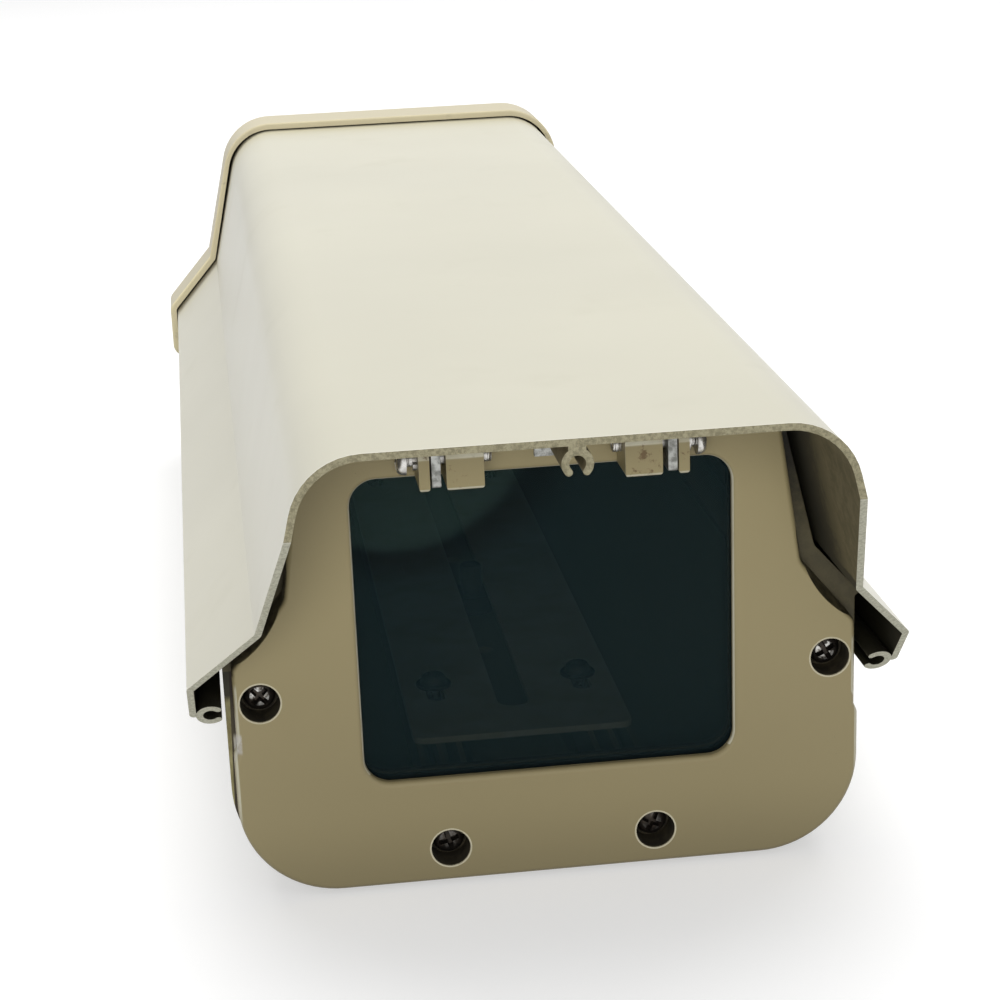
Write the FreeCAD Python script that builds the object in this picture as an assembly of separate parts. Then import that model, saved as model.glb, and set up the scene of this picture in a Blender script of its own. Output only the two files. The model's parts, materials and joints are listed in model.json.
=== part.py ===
import FreeCAD, Part
import math
import os

from FreeCAD import Vector

# Security camera housing: a long extruded tray with a cast front plate and window, and an
# extruded lid that tips up at the back about two pivot screws above the window.
# X is right, Y is back, Z is up, in millimetres. The origin is midway between the two outer
# mounting holes, on the underside of the tray.

# Tray
TRAY_LENGTH = 367.5
TRAY_HALF_WIDTH = 71.5
TRAY_WALL_TOP = 59.0
TRAY_WALL = 2.5
TRAY_FLOOR = 3.0
TRAY_CORNER_R = 25.0
HOLES_TO_FACE = 170.0      # middle of the mounting holes to the front plate's face

# Mounting holes in the thick band along the tray's floor
BAND_HALF_WIDTH = 12.0
BAND_TOP = 7.0
MOUNT_SPACING = 80.0
MOUNT_HOLE_R = 2.5         # tapped for M6
TRIPOD_HOLE_R = 2.55       # tapped for a quarter-inch tripod screw

# Ribs on the tray's floor: three a side, with a screw channel in each gap
RIB_TOP = 15.0
RIB_WALL = 1.4
CHANNEL_GAP = 3.4
END_CHANNEL_X = 23.45      # the outer channel takes the end plates' lower screws
END_CHANNEL_DROP = 5.8     # its axis below the ribs' tops

# Screw channels at the top of the tray's walls
SIDE_CHANNEL_IN = 7.7      # tray's side to the channel's axis
SIDE_CHANNEL_DROP = 11.2
SIDE_CHANNEL_R = 4.3
SIDE_CHANNEL_SLOT = 1.6

# Lid
LID_TOP = 117.5
LID_WALL = 1.5
LID_CORNER_R = 15.0
LID_OVERHANG = 51.65       # how far the lid's roof reaches past the front plate's face
LIP_GAP = 6.3              # tray's side to the lip's inner face
LIP_LENGTH = 10.2
LIP_EDGE_R = 1.0
FLARE_RISE = 14.0          # tray's wall top to the kink under the lid's side wall
FLARE_IN = 15.15
FLARE_DROP = 17.1
SIDE_LEAN = 10.55
LIP_KINK_R = 1.5
SIDE_KINK_R = 0.8
RAKE_DROP = 16.6           # lower than this the lid's front end is cut back at a slant
RAKE_ANGLE = 43.4
LID_CHANNEL_R = 3.2
LID_CHANNEL_HOLE_R = 1.65
LID_CHANNEL_SLOT = 2.0
ROOF_CHANNEL_DROP = 5.1    # lid's top to the roof channel's axis
LIP_CHANNEL_IN = 3.1       # lip's inner face to the lip channel's axis
LIP_CHANNEL_UP = 0.3

# End cap on the lid's back
CAP_DEPTH = 22.0
CAP_BACK_WALL = 2.8
CAP_PROUD = 2.5
CAP_CLEARANCE = 0.4
CAP_CORNER_SLACK = 0.6     # more room in the cap beside the roof's rounded corners
CAP_LIP_DROP = 7.0         # cap's lower edge below the lid's lip
CAP_CORNER_R = 4.2
CAP_EDGE_R = 3.5
CAP_RIM_R = 0.7
CAP_SCREW_GRIP = 10.0

# Front plate
PLATE_THICKNESS = 7.0
PLATE_SET_IN = 1.1         # plate's outline inside the tray's outline
PLATE_STEP = 0.85          # the plate is a little narrower above the step in its sides
PLATE_STEP_RUN = 2.0
PLATE_STEP_DROP = 24.0     # side step below the tray's wall top
PLATE_STEP_OUTER_R = 2.0
PLATE_STEP_INNER_R = 1.5
PLATE_TOP_DROP = 11.5      # plate's top below the lid's top
PLATE_TOP_IN = 1.4         # plate's top corner inside the lid's
PLATE_TOP_R = 4.0
PLATE_CORNER_R = 22.5
PLATE_EDGE_R = 1.3
SHOULDER_DROP = 3.0        # shoulder's lower end below the tray's wall top
SHOULDER_SIDE_IN = 6.85    # side of the plate's upper part inside the lid's kink
SHOULDER_SIDE_DROP = 2.1
SHOULDER_INNER_R = 4.0
SHOULDER_OUTER_R = 2.0
SCOOP_R = 22.0
SCOOP_DEPTH = 1.75         # how far each shoulder's front edge is scooped out

# Window
WINDOW_SIDE = 29.75        # tray's side to the window's side
WINDOW_BOTTOM = 26.2
WINDOW_TOP_DROP = 9.3      # window's top below the plate's top
WINDOW_CORNER_R = 6.0
WINDOW_EDGE_R = 1.2
WINDOW_LIP = 2.0
GLASS_MARGIN = 4.0
GLASS_CLEARANCE = 0.5
GLASS_GASKET = 0.6

# Bulkhead and gaskets behind the front plate
SHEET_GASKET = 0.8
BULKHEAD_THICKNESS = 2.0
BULKHEAD_CLEARANCE = 0.8
BULKHEAD_FLANGE_UP = 1.0   # flange's lower end above the tray's wall top
GASKET_SET_IN = 0.9
REAR_GASKET_WIDTH = 7.0

# Machine screws of the end plates
PLATE_SCREW_R = 2.0
PLATE_SCREW_HEAD_R = 3.7
PLATE_SCREW_HEAD = 2.6
PLATE_SCREW_GRIP = 14.0
SCREW_RECESS_R = 4.45
SCREW_HEAD_DEPTH = 4.8
SCREW_BOSS_R = 5.3
SCREW_FIT = 0.05
SCREW_HOLE_FIT = 0.25
BOSS_FIT = 0.3

# Hinge
HINGE_X = 1.4              # the hinge's middle is this far right of the lid's middle
PIVOT_DROP = 15.0          # pivot axis below the lid's top
PIVOT_FORWARD = 5.65       # pivot axis in front of the plate's face
PIVOT_SCREW_R = 1.5
PIVOT_FIT = 0.06
PIVOT_HEAD_R = 3.4
PIVOT_HEAD = 1.9
PIVOT_EXPOSED = 2.3        # bare thread between the ear and the head
PIVOT_TIP = 2.0            # thread past the block's inner side
BLOCK_INNER_X = 15.0
BLOCK_OUTER_X = 23.0
ARM_INNER_X = 24.15
ARM_THICKNESS = 2.0
ARM_REACH = 5.35           # arm's front and lower edges from the pivot
ARM_EDGE_R = 0.8
EAR_INNER_X = 26.5
EAR_THICKNESS = 2.3
LUG_DROP = 6.15            # lower end of blocks and ears below the pivot
LUG_REACH = 5.2            # their front in front of the pivot
LUG_EDGE_R = 0.9
WEB_FRONT = 9.0            # web's front edge in front of the pivot
WEB_BACK = 4.0
WEB_THICKNESS = 1.6
TAB_X = -1.25
TAB_HALF_WIDTH = 2.2
TAB_BOTTOM_UP = 1.1        # tab's lower end above the pivot
TAB_THICKNESS = 1.4
BRACKET_SCREW_R = 1.6
BRACKET_SCREW_HEAD_R = 2.8
BRACKET_SCREW_HEAD = 2.0

# Lid seals on the tray's walls
SEAL_LEG = 0.5
SEAL_SKIRT = 5.0
SEAL_CROWN = 1.0

# Rear plate
REAR_THICKNESS = 5.0
REAR_GAP = 5.0
REAR_EDGE_R = 0.8
REAR_SCREW_HEAD = 2.4

# Cable glands in the rear plate
GLAND_X = (-32.0, 0.0, 32.0)
GLAND_NAMES = ("left", "centre", "right")
GLAND_Z = 27.5
GLAND_THREAD_R = 7.6
GLAND_FIT = 0.1
GLAND_ACROSS_FLATS = 19.0
GLAND_FLANGE = 5.0
GLAND_THREAD_OUT = 8.0
GLAND_THREAD_IN = 8.0
GLAND_BORE_R = 4.8
GLAND_SEAL_SEAT_R = 6.4
GLAND_CABLE_R = 4.0
GLAND_SEAL_LENGTH = 10.0
GLAND_NUT_GAP = 0.3
GLAND_NUT_LENGTH = 11.7
GLAND_NUT_WALL = 2.4
GLAND_LOCKNUT = 4.0

# Lock in the end cap
LOCK_RISE = 15.0           # lock's axis above the tray's wall top
LOCK_BARREL_R = 9.5
LOCK_BARREL_LENGTH = 16.0
LOCK_FACE_R = 11.0
LOCK_FACE = 2.0
LOCK_PLUG_R = 6.0
LOCK_PLUG_FIT = 0.06
LOCK_PLUG_PROUD = 0.8
LOCK_KEY_SLOT = 1.6
LOCK_KEY_SLOT_DEPTH = 6.0
LOCK_NUT = 4.0
LOCK_NUT_ACROSS_FLATS = 23.0
CAM_GAP = 0.3
CAM_THICKNESS = 2.0
CAM_LENGTH = 30.0
CAM_HALF_WIDTH = 6.0
CAM_SQUARE = 5.0
CAM_SCREW_R = 3.2
CAM_SCREW_HEAD = 2.0
KEEPER_NEAR_X = 20.0
KEEPER_WIDTH = 14.0
KEEPER_THICKNESS = 2.0
KEEPER_REACH = 10.0
KEEPER_FOOT = 11.0
KEEPER_CLEARANCE = 0.8
KEEPER_SCREW_R = 1.5
KEEPER_SCREW_HEAD_R = 2.7
KEEPER_SCREW_HEAD = 1.7

# Camera sled on the ribs
SLED_HALF_WIDTH = 27.0
SLED_LENGTH = 260.0
SLED_THICKNESS = 1.6
SLED_SET_BACK = 47.0       # sled's front edge behind the front plate's face
SLED_CORNER_R = 3.0
SLED_LIFT = 0.1
SLED_SLOT_HALF_WIDTH = 4.0
SLED_SLOT_SET_BACK = 16.5
SIDE_SLOT_LENGTH = 21.0
SIDE_SLOT_HALF_WIDTH = 2.4
SIDE_SLOT_SET_BACK = 24.0
SLED_SCREW_R = 1.65
SLED_SCREW_HEAD_R = 3.3
SLED_SCREW_HEAD = 2.2
SLED_SCREW_LENGTH = 8.0
SLED_WASHER_R = 4.5
SLED_WASHER = 0.8

# Camera screw in the sled's long slot
CAMERA_SCREW_R = 3.15
CAMERA_SCREW_NECK_R = 2.6
CAMERA_SCREW_PROUD = 6.5
CAMERA_SCREW_BACK = 110.0  # behind the sled's front edge
CAMERA_KNOB_R = 7.0
CAMERA_KNOB = 5.5

# Earth screw in the thick band of the tray's floor
EARTH_FROM_BACK = 40.0
EARTH_SCREW_R = 1.95
EARTH_HEAD_R = 4.0
EARTH_HEAD = 2.6
EARTH_WASHER_R = 5.0
EARTH_WASHER = 1.0
EARTH_STEM = 5.0

# Places along Y, worked out from front to back
FACE_Y = -HOLES_TO_FACE
PLATE_BACK_Y = FACE_Y + PLATE_THICKNESS
BULKHEAD_Y = PLATE_BACK_Y + SHEET_GASKET
TRAY_FRONT_Y = BULKHEAD_Y + BULKHEAD_THICKNESS
TRAY_BACK_Y = TRAY_FRONT_Y + TRAY_LENGTH
REAR_PLATE_Y = TRAY_BACK_Y + SHEET_GASKET
REAR_FACE_Y = REAR_PLATE_Y + REAR_THICKNESS
CAP_INNER_Y = REAR_FACE_Y + REAR_GAP
CAP_BACK_Y = CAP_INNER_Y + CAP_BACK_WALL
LID_FRONT_Y = FACE_Y - LID_OVERHANG
PIVOT_Y = FACE_Y - PIVOT_FORWARD
SLED_FRONT_Y = FACE_Y + SLED_SET_BACK
EARTH_Y = TRAY_BACK_Y - EARTH_FROM_BACK

# Lid outline, worked out from the tray
LIP_HALF_WIDTH = TRAY_HALF_WIDTH + LIP_GAP + LID_WALL
FLARE_TOP = TRAY_WALL_TOP + FLARE_RISE
FLARE_BOTTOM = FLARE_TOP - FLARE_DROP
FLARE_HALF_WIDTH = LIP_HALF_WIDTH - FLARE_IN
ROOF_HALF_WIDTH = FLARE_HALF_WIDTH - SIDE_LEAN
LIP_BOTTOM = FLARE_BOTTOM - LIP_LENGTH
ROOF_UNDER = LID_TOP - LID_WALL
LID_CHANNEL_MEAN_R = (LID_CHANNEL_R + LID_CHANNEL_HOLE_R) / 2
LID_CHANNEL_TIP_R = (LID_CHANNEL_R - LID_CHANNEL_HOLE_R) / 2
LID_CHANNEL_TIP_ACROSS = LID_CHANNEL_SLOT / 2 + LID_CHANNEL_TIP_R
LID_CHANNEL_TIP_ALONG = math.sqrt(LID_CHANNEL_MEAN_R ** 2 - LID_CHANNEL_TIP_ACROSS ** 2)
ROOF_CHANNEL_Z = LID_TOP - ROOF_CHANNEL_DROP
ROOF_CHANNEL_BOTTOM = ROOF_CHANNEL_Z - LID_CHANNEL_TIP_ALONG - LID_CHANNEL_TIP_R
LIP_CHANNEL_X = LIP_HALF_WIDTH - LID_WALL - LIP_CHANNEL_IN
LIP_CHANNEL_Z = LIP_BOTTOM + LIP_CHANNEL_UP

# Channel places on the tray
CHANNEL_PITCH = CHANNEL_GAP + RIB_WALL
SLED_CHANNEL_X = END_CHANNEL_X - CHANNEL_PITCH
END_CHANNEL_Z = RIB_TOP - END_CHANNEL_DROP
SIDE_CHANNEL_X = TRAY_HALF_WIDTH - SIDE_CHANNEL_IN
SIDE_CHANNEL_Z = TRAY_WALL_TOP - SIDE_CHANNEL_DROP
SIDES = (-1, 1)

# Heights and widths of what sits inside the lid
RAKE_TOP = LID_TOP - RAKE_DROP
CAP_BOTTOM = LIP_BOTTOM - CAP_LIP_DROP
PLATE_HALF_WIDTH = TRAY_HALF_WIDTH - PLATE_SET_IN
PLATE_STEP_Z = TRAY_WALL_TOP - PLATE_STEP_DROP
PLATE_TOP = LID_TOP - PLATE_TOP_DROP
PLATE_TOP_HALF_WIDTH = ROOF_HALF_WIDTH - PLATE_TOP_IN
WINDOW_HALF_WIDTH = TRAY_HALF_WIDTH - WINDOW_SIDE
WINDOW_TOP = PLATE_TOP - WINDOW_TOP_DROP
PIVOT_Z = LID_TOP - PIVOT_DROP
LUG_BOTTOM = PIVOT_Z - LUG_DROP
LOCK_Z = TRAY_WALL_TOP + LOCK_RISE


def box(x0, x1, y0, y1, z0, z1):
    return Part.makeBox(x1 - x0, y1 - y0, z1 - z0, Vector(x0, y0, z0))


def rod_x(x0, x1, y, z, radius):
    return Part.makeCylinder(radius, x1 - x0, Vector(x0, y, z), Vector(1, 0, 0))


def rod_y(x, y0, y1, z, radius):
    return Part.makeCylinder(radius, y1 - y0, Vector(x, y0, z), Vector(0, 1, 0))


def rod_z(x, y, z0, z1, radius):
    return Part.makeCylinder(radius, z1 - z0, Vector(x, y, z0), Vector(0, 0, 1))


def fuse(shapes):
    first = shapes[0]
    return first.fuse(shapes[1:]).removeSplitter() if len(shapes) > 1 else first


def rounded_wire(corners, to_space):
    """Closed wire through (a, b, radius) corners, with each corner rounded to its radius."""
    starts, arcs, ends = [], [], []
    count = len(corners)
    for i, (a, b, radius) in enumerate(corners):
        corner = Vector(a, b, 0)
        before = Vector(corners[i - 1][0], corners[i - 1][1], 0) - corner
        after = Vector(corners[(i + 1) % count][0], corners[(i + 1) % count][1], 0) - corner
        before.normalize()
        after.normalize()
        half = before.getAngle(after) / 2
        if radius <= 0 or half > math.pi / 2 - 1e-4:
            starts.append(corner)
            ends.append(corner)
            arcs.append(None)
            continue
        run = radius / math.tan(half)
        middle = before + after
        middle.normalize()
        starts.append(corner + before * run)
        ends.append(corner + after * run)
        arcs.append(corner + middle * (radius / math.sin(half) - radius))
    edges = []
    for i in range(count):
        if arcs[i] is not None:
            edges.append(Part.Arc(to_space(starts[i]), to_space(arcs[i]), to_space(ends[i])).toShape())
        nxt = starts[(i + 1) % count]
        if ends[i].distanceToPoint(nxt) > 1e-6:
            edges.append(Part.LineSegment(to_space(ends[i]), to_space(nxt)).toShape())
    return Part.Wire(edges)


def along_y(corners, y0, y1):
    """Solid of an outline in X and Z, from y0 to y1."""
    wire = rounded_wire(corners, lambda p: Vector(p.x, y0, p.y))
    return Part.Face(wire).extrude(Vector(0, y1 - y0, 0))


def along_x(corners, x0, x1):
    """Solid of an outline in Y and Z, from x0 to x1."""
    wire = rounded_wire(corners, lambda p: Vector(x0, p.x, p.y))
    return Part.Face(wire).extrude(Vector(x1 - x0, 0, 0))


def along_z(corners, z0, z1):
    """Solid of an outline in X and Y, from z0 to z1."""
    wire = rounded_wire(corners, lambda p: Vector(p.x, p.y, z0))
    return Part.Face(wire).extrude(Vector(0, 0, z1 - z0))


def mirrored(corners):
    """Right-hand corners, then the same on the left, back to the start."""
    return corners + [(-x, z, radius) for x, z, radius in reversed(corners)]


def rectangle(x0, x1, z0, z1, radius):
    return [(x0, z0, radius), (x1, z0, radius), (x1, z1, radius), (x0, z1, radius)]


def hexagon(across_flats, x, y0, y1, z):
    reach = across_flats / 2 / math.cos(math.pi / 6)
    corners = []
    for step in range(6):
        angle = math.radians(60 * step)
        corners.append((x + reach * math.cos(angle), z + reach * math.sin(angle), 0))
    return along_y(corners, y0, y1)


def faces_at(solid, y):
    """Faces of the end that lies in the plane y."""
    return [face for face in solid.Faces
            if abs(face.BoundBox.YMin - y) < 1e-6 and abs(face.BoundBox.YMax - y) < 1e-6]


def ends_filleted(solid, radius, y):
    """Rounds the outer edges of the end in the plane y."""
    edges = []
    for face in faces_at(solid, y):
        edges.extend(face.OuterWire.Edges)
    return solid.makeFillet(radius, edges)


def opening_filleted(solid, radius, y):
    """Rounds the edges of the opening in the end in the plane y."""
    edges = []
    for face in faces_at(solid, y):
        for wire in face.Wires:
            if not wire.isSame(face.OuterWire):
                edges.extend(wire.Edges)
    return solid.makeFillet(radius, edges)


def line_crossing(p, d, q, e):
    """Where the line through p along d meets the line through q along e."""
    reach = ((q.x - p.x) * e.y - (q.y - p.y) * e.x) / (d.x * e.y - d.y * e.x)
    return p + d * reach


def lid_outline(inward):
    """Corners of the lid's outline from the right lip over the roof, moved in by a distance."""
    half = [
        (LIP_HALF_WIDTH, LIP_BOTTOM, LIP_EDGE_R),
        (LIP_HALF_WIDTH, FLARE_BOTTOM, LIP_KINK_R),
        (FLARE_HALF_WIDTH, FLARE_TOP, -SIDE_KINK_R),
        (ROOF_HALF_WIDTH, LID_TOP, LID_CORNER_R),
    ]
    chain = [(x, z, r) for x, z, r in half] + [(-x, z, r) for x, z, r in reversed(half)]
    points = [Vector(x, z, 0) for x, z, _ in chain]
    runs = [points[i + 1] - points[i] for i in range(len(points) - 1)]
    normals = []
    for run in runs:
        run.normalize()
        normals.append(Vector(-run.y, run.x, 0))
    moved = []
    for i, (point, (_, _, radius)) in enumerate(zip(points, chain)):
        if i == 0:
            place = point + normals[0] * inward
        elif i == len(points) - 1:
            place = point + normals[-1] * inward
        else:
            place = line_crossing(
                point + normals[i - 1] * inward, runs[i - 1], point + normals[i] * inward, runs[i])
        # a hollow corner, kept as a negative radius, grows where a round one shrinks
        turned = -radius + inward if radius < 0 else radius - inward
        moved.append((place.x, place.y, max(turned, 0.2) if radius else 0))
    return moved


def base_tray():
    outer = [(TRAY_HALF_WIDTH, TRAY_WALL_TOP, 0.6), (TRAY_HALF_WIDTH, 0, TRAY_CORNER_R)]
    inner_half = TRAY_HALF_WIDTH - TRAY_WALL
    inner = [(-inner_half, TRAY_WALL_TOP, 0.6), (-inner_half, TRAY_FLOOR, TRAY_CORNER_R - TRAY_WALL)]
    shell = along_y(mirrored(outer) + mirrored(inner), TRAY_FRONT_Y, TRAY_BACK_Y)
    solids = [shell, floor_band()] + [rib(side, n) for side in SIDES for n in range(3)]
    solids += [side_channel(side) for side in SIDES]
    tray = fuse(solids)
    screw_r = PLATE_SCREW_R + SCREW_FIT
    for side in SIDES:
        for x, z in ((SIDE_CHANNEL_X, SIDE_CHANNEL_Z), (END_CHANNEL_X, END_CHANNEL_Z)):
            tray = tray.cut(rod_y(side * x, TRAY_FRONT_Y, TRAY_BACK_Y, z, screw_r))
    for y in (-MOUNT_SPACING / 2, MOUNT_SPACING / 2):
        tray = tray.cut(rod_z(0, y, 0, BAND_TOP, MOUNT_HOLE_R))
    tray = tray.cut(rod_z(0, 0, 0, BAND_TOP, TRIPOD_HOLE_R))
    return tray.cut(rod_z(0, EARTH_Y, BAND_TOP - EARTH_STEM, BAND_TOP, EARTH_SCREW_R + SCREW_FIT))


def floor_band():
    corners = [(BAND_HALF_WIDTH, BAND_TOP, 1.0), (BAND_HALF_WIDTH + 1, TRAY_FLOOR / 2, 0)]
    return along_y(mirrored(corners), TRAY_FRONT_Y, TRAY_BACK_Y)


def rib(side, number):
    centre = END_CHANNEL_X + CHANNEL_PITCH * (0.5 - number)
    x0, x1 = sorted((side * (centre - RIB_WALL / 2), side * (centre + RIB_WALL / 2)))
    return box(x0, x1, TRAY_FRONT_Y, TRAY_BACK_Y, TRAY_FLOOR / 2, RIB_TOP)


def side_channel(side):
    """Ring with a slot towards the middle, held to the wall by a web."""
    x = side * SIDE_CHANNEL_X
    ring = rod_y(x, TRAY_FRONT_Y, TRAY_BACK_Y, SIDE_CHANNEL_Z, SIDE_CHANNEL_R)
    wall_x = side * (TRAY_HALF_WIDTH - TRAY_WALL / 2)
    web_half = SIDE_CHANNEL_R / 2
    web = box(min(x, wall_x), max(x, wall_x), TRAY_FRONT_Y, TRAY_BACK_Y,
              SIDE_CHANNEL_Z - web_half, SIDE_CHANNEL_Z + web_half)
    far_x = side * (SIDE_CHANNEL_X - SIDE_CHANNEL_R - 1)
    slot = box(min(x, far_x), max(x, far_x), TRAY_FRONT_Y, TRAY_BACK_Y,
               SIDE_CHANNEL_Z - SIDE_CHANNEL_SLOT / 2, SIDE_CHANNEL_Z + SIDE_CHANNEL_SLOT / 2)
    return ring.fuse(web).cut(slot)


def plate_outline(inward):
    """Outline of the front plate: shoulders step in to the narrow part inside the lid."""
    side_x = FLARE_HALF_WIDTH - SHOULDER_SIDE_IN - inward
    low = PLATE_SET_IN + inward
    half = PLATE_HALF_WIDTH - inward
    right = [
        (half, low, PLATE_CORNER_R - inward),
        (half, PLATE_STEP_Z - PLATE_STEP_RUN / 2, PLATE_STEP_OUTER_R),
        (half - PLATE_STEP, PLATE_STEP_Z + PLATE_STEP_RUN / 2, PLATE_STEP_INNER_R),
        (half - PLATE_STEP, TRAY_WALL_TOP - SHOULDER_DROP - inward, SHOULDER_OUTER_R),
        (side_x, FLARE_TOP - SHOULDER_SIDE_DROP - inward, SHOULDER_INNER_R),
        (PLATE_TOP_HALF_WIDTH - inward, PLATE_TOP - inward, PLATE_TOP_R),
    ]
    return mirrored(right)


def window_corners(grow):
    return rectangle(-WINDOW_HALF_WIDTH - grow, WINDOW_HALF_WIDTH + grow, WINDOW_BOTTOM - grow,
                     WINDOW_TOP + grow, WINDOW_CORNER_R + grow)


def plate_screw_places():
    pairs = ((SIDE_CHANNEL_X, SIDE_CHANNEL_Z), (END_CHANNEL_X, END_CHANNEL_Z))
    return [(side * x, z) for x, z in pairs for side in SIDES]


def shoulder_scoop(side):
    """Cone that touches the shoulder's back edge and cuts into the middle of its front edge."""
    low, high = [Vector(x, FACE_Y, z) for x, z, _ in plate_outline(0)[3:5]]
    run = high - low
    run.normalize()
    axis = (low + high) * 0.5 + Vector(run.z, 0, -run.x) * SCOOP_R
    base = Vector(side * axis.x, FACE_Y, axis.z)
    return Part.makeCone(SCOOP_R + SCOOP_DEPTH, SCOOP_R, PLATE_THICKNESS, base, Vector(0, 1, 0))


def plate_body():
    """Cast body with rounded front edges, the window's opening and a scoop in each shoulder."""
    body = ends_filleted(along_y(plate_outline(0), FACE_Y, PLATE_BACK_Y), PLATE_EDGE_R, FACE_Y)
    body = body.cut(along_y(window_corners(0), FACE_Y, PLATE_BACK_Y))
    body = opening_filleted(body, WINDOW_EDGE_R, FACE_Y)
    return body.cut([shoulder_scoop(side) for side in SIDES])


def hinge_span(side, inner, outer):
    """Both ends along X of a piece at these distances from the hinge's middle."""
    return sorted((HINGE_X + side * inner, HINGE_X + side * outer))


def pivot_lug(x0, x1):
    """Cast lug for the pivot screw, rounded at the top so that the bracket's web swings past it."""
    front_y, back_y = PIVOT_Y - LUG_REACH, FACE_Y + WINDOW_LIP * 0.75
    from_side = along_x([
        (back_y, PLATE_TOP, 0), (front_y, PLATE_TOP, LUG_REACH * 0.6), (front_y, LUG_BOTTOM, LUG_EDGE_R),
        (back_y, LUG_BOTTOM, 0)], x0, x1)
    from_front = along_y([
        (x0, PLATE_TOP, 0), (x0, LUG_BOTTOM, LUG_EDGE_R), (x1, LUG_BOTTOM, LUG_EDGE_R), (x1, PLATE_TOP, 0)],
        front_y, back_y)
    return from_side.common(from_front)


def front_plate():
    plate = plate_body()
    for x, z in plate_screw_places():
        plate = plate.fuse(rod_y(x, PLATE_BACK_Y, TRAY_FRONT_Y, z, SCREW_BOSS_R))
    for side in SIDES:
        block = pivot_lug(*hinge_span(side, BLOCK_INNER_X, BLOCK_OUTER_X))
        ear = pivot_lug(*hinge_span(side, EAR_INNER_X, EAR_INNER_X + EAR_THICKNESS))
        plate = plate.fuse([block, ear])
    pocket = along_y(window_corners(GLASS_MARGIN + GLASS_CLEARANCE), FACE_Y + WINDOW_LIP, PLATE_BACK_Y)
    plate = plate.cut(pocket)
    seat_y = FACE_Y + SCREW_HEAD_DEPTH + PLATE_SCREW_HEAD
    for x, z in plate_screw_places():
        plate = plate.cut(rod_y(x, FACE_Y, seat_y, z, SCREW_RECESS_R))
        plate = plate.cut(rod_y(x, seat_y, TRAY_FRONT_Y, z, PLATE_SCREW_R + SCREW_HOLE_FIT))
    for side in SIDES:
        x0, x1 = hinge_span(side, BLOCK_INNER_X - 1, EAR_INNER_X + EAR_THICKNESS + 1)
        plate = plate.cut(rod_x(x0, x1, PIVOT_Y, PIVOT_Z, PIVOT_SCREW_R + PIVOT_FIT))
    return plate.removeSplitter()


def window_glass():
    return along_y(window_corners(GLASS_MARGIN), FACE_Y + WINDOW_LIP + GLASS_GASKET, PLATE_BACK_Y)


def glass_gasket():
    front = FACE_Y + WINDOW_LIP
    ring = along_y(window_corners(GLASS_MARGIN), front, front + GLASS_GASKET)
    return ring.cut(along_y(window_corners(GLASS_MARGIN / 8), front, front + GLASS_GASKET))


def front_gasket():
    sheet = along_y(plate_outline(GASKET_SET_IN), PLATE_BACK_Y, BULKHEAD_Y)
    sheet = sheet.cut(along_y(window_corners(GLASS_MARGIN / 4), PLATE_BACK_Y, BULKHEAD_Y))
    for x, z in plate_screw_places():
        sheet = sheet.cut(rod_y(x, PLATE_BACK_Y, BULKHEAD_Y, z, SCREW_BOSS_R + BOSS_FIT))
    return sheet


def bulkhead_outline():
    """Tray's outline below; above it a flange that follows the inside of the lid."""
    inner = lid_outline(LID_WALL + BULKHEAD_CLEARANCE)
    low = Vector(inner[1][0], inner[1][1], 0)
    high = Vector(inner[2][0], inner[2][1], 0)
    run = high - low
    share = (TRAY_WALL_TOP + BULKHEAD_FLANGE_UP - low.y) / run.y
    tip = low + run * share
    run.normalize()
    step = line_crossing(tip, Vector(-run.y, run.x, 0), Vector(TRAY_HALF_WIDTH, 0, 0), Vector(0, 1, 0))
    right = [
        (TRAY_HALF_WIDTH, 0, TRAY_CORNER_R),
        (TRAY_HALF_WIDTH, step.y, 0),
        (tip.x, tip.y, 0),
        inner[2],
        inner[3],
    ]
    return mirrored(right)


def bulkhead_plate():
    y0, y1 = BULKHEAD_Y, TRAY_FRONT_Y
    sheet = along_y(bulkhead_outline(), y0, y1)
    sheet = sheet.cut(along_y(window_corners(GLASS_MARGIN / 8), y0, y1))
    for x, z in plate_screw_places():
        sheet = sheet.cut(rod_y(x, y0, y1, z, SCREW_BOSS_R + BOSS_FIT))
    notch_half = LID_CHANNEL_R + BULKHEAD_CLEARANCE
    notch = rectangle(-notch_half, notch_half, ROOF_CHANNEL_BOTTOM - 2 * BULKHEAD_CLEARANCE, LID_TOP, 0)
    return sheet.cut(along_y(notch, y0, y1))


def pan_screw_y(x, z, seat_y, toward, radius, length, head_r, head):
    """Pan-head screw along Y: toward is +1 if the shank runs to +Y from the seat."""
    shank = rod_y(x, *sorted((seat_y, seat_y + toward * length)), z, radius)
    top = rod_y(x, *sorted((seat_y - toward * head, seat_y)), z, head_r)
    crown_y = seat_y - toward * head
    rim = [edge for edge in top.Edges
           if abs(edge.BoundBox.YMin - crown_y) < 1e-6 and abs(edge.BoundBox.YMax - crown_y) < 1e-6]
    top = top.makeFillet(min(head * 0.45, head_r * 0.3), rim)
    top = top.cut(cross_recess_y(x, crown_y, z, head_r * 0.5, head * 0.6 * toward))
    return top.fuse(shank).removeSplitter()


def cross_recess_y(x, y, z, reach, depth):
    half = reach * 0.2
    y0, y1 = sorted((y, y + depth))
    return box(x - reach, x + reach, y0, y1, z - half, z + half).fuse(
        box(x - half, x + half, y0, y1, z - reach, z + reach))


def front_plate_screws():
    seat_y = FACE_Y + SCREW_HEAD_DEPTH + PLATE_SCREW_HEAD
    length = TRAY_FRONT_Y - seat_y + PLATE_SCREW_GRIP
    return Part.makeCompound([
        pan_screw_y(x, z, seat_y, 1, PLATE_SCREW_R, length, PLATE_SCREW_HEAD_R, PLATE_SCREW_HEAD)
        for x, z in plate_screw_places()])


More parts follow.
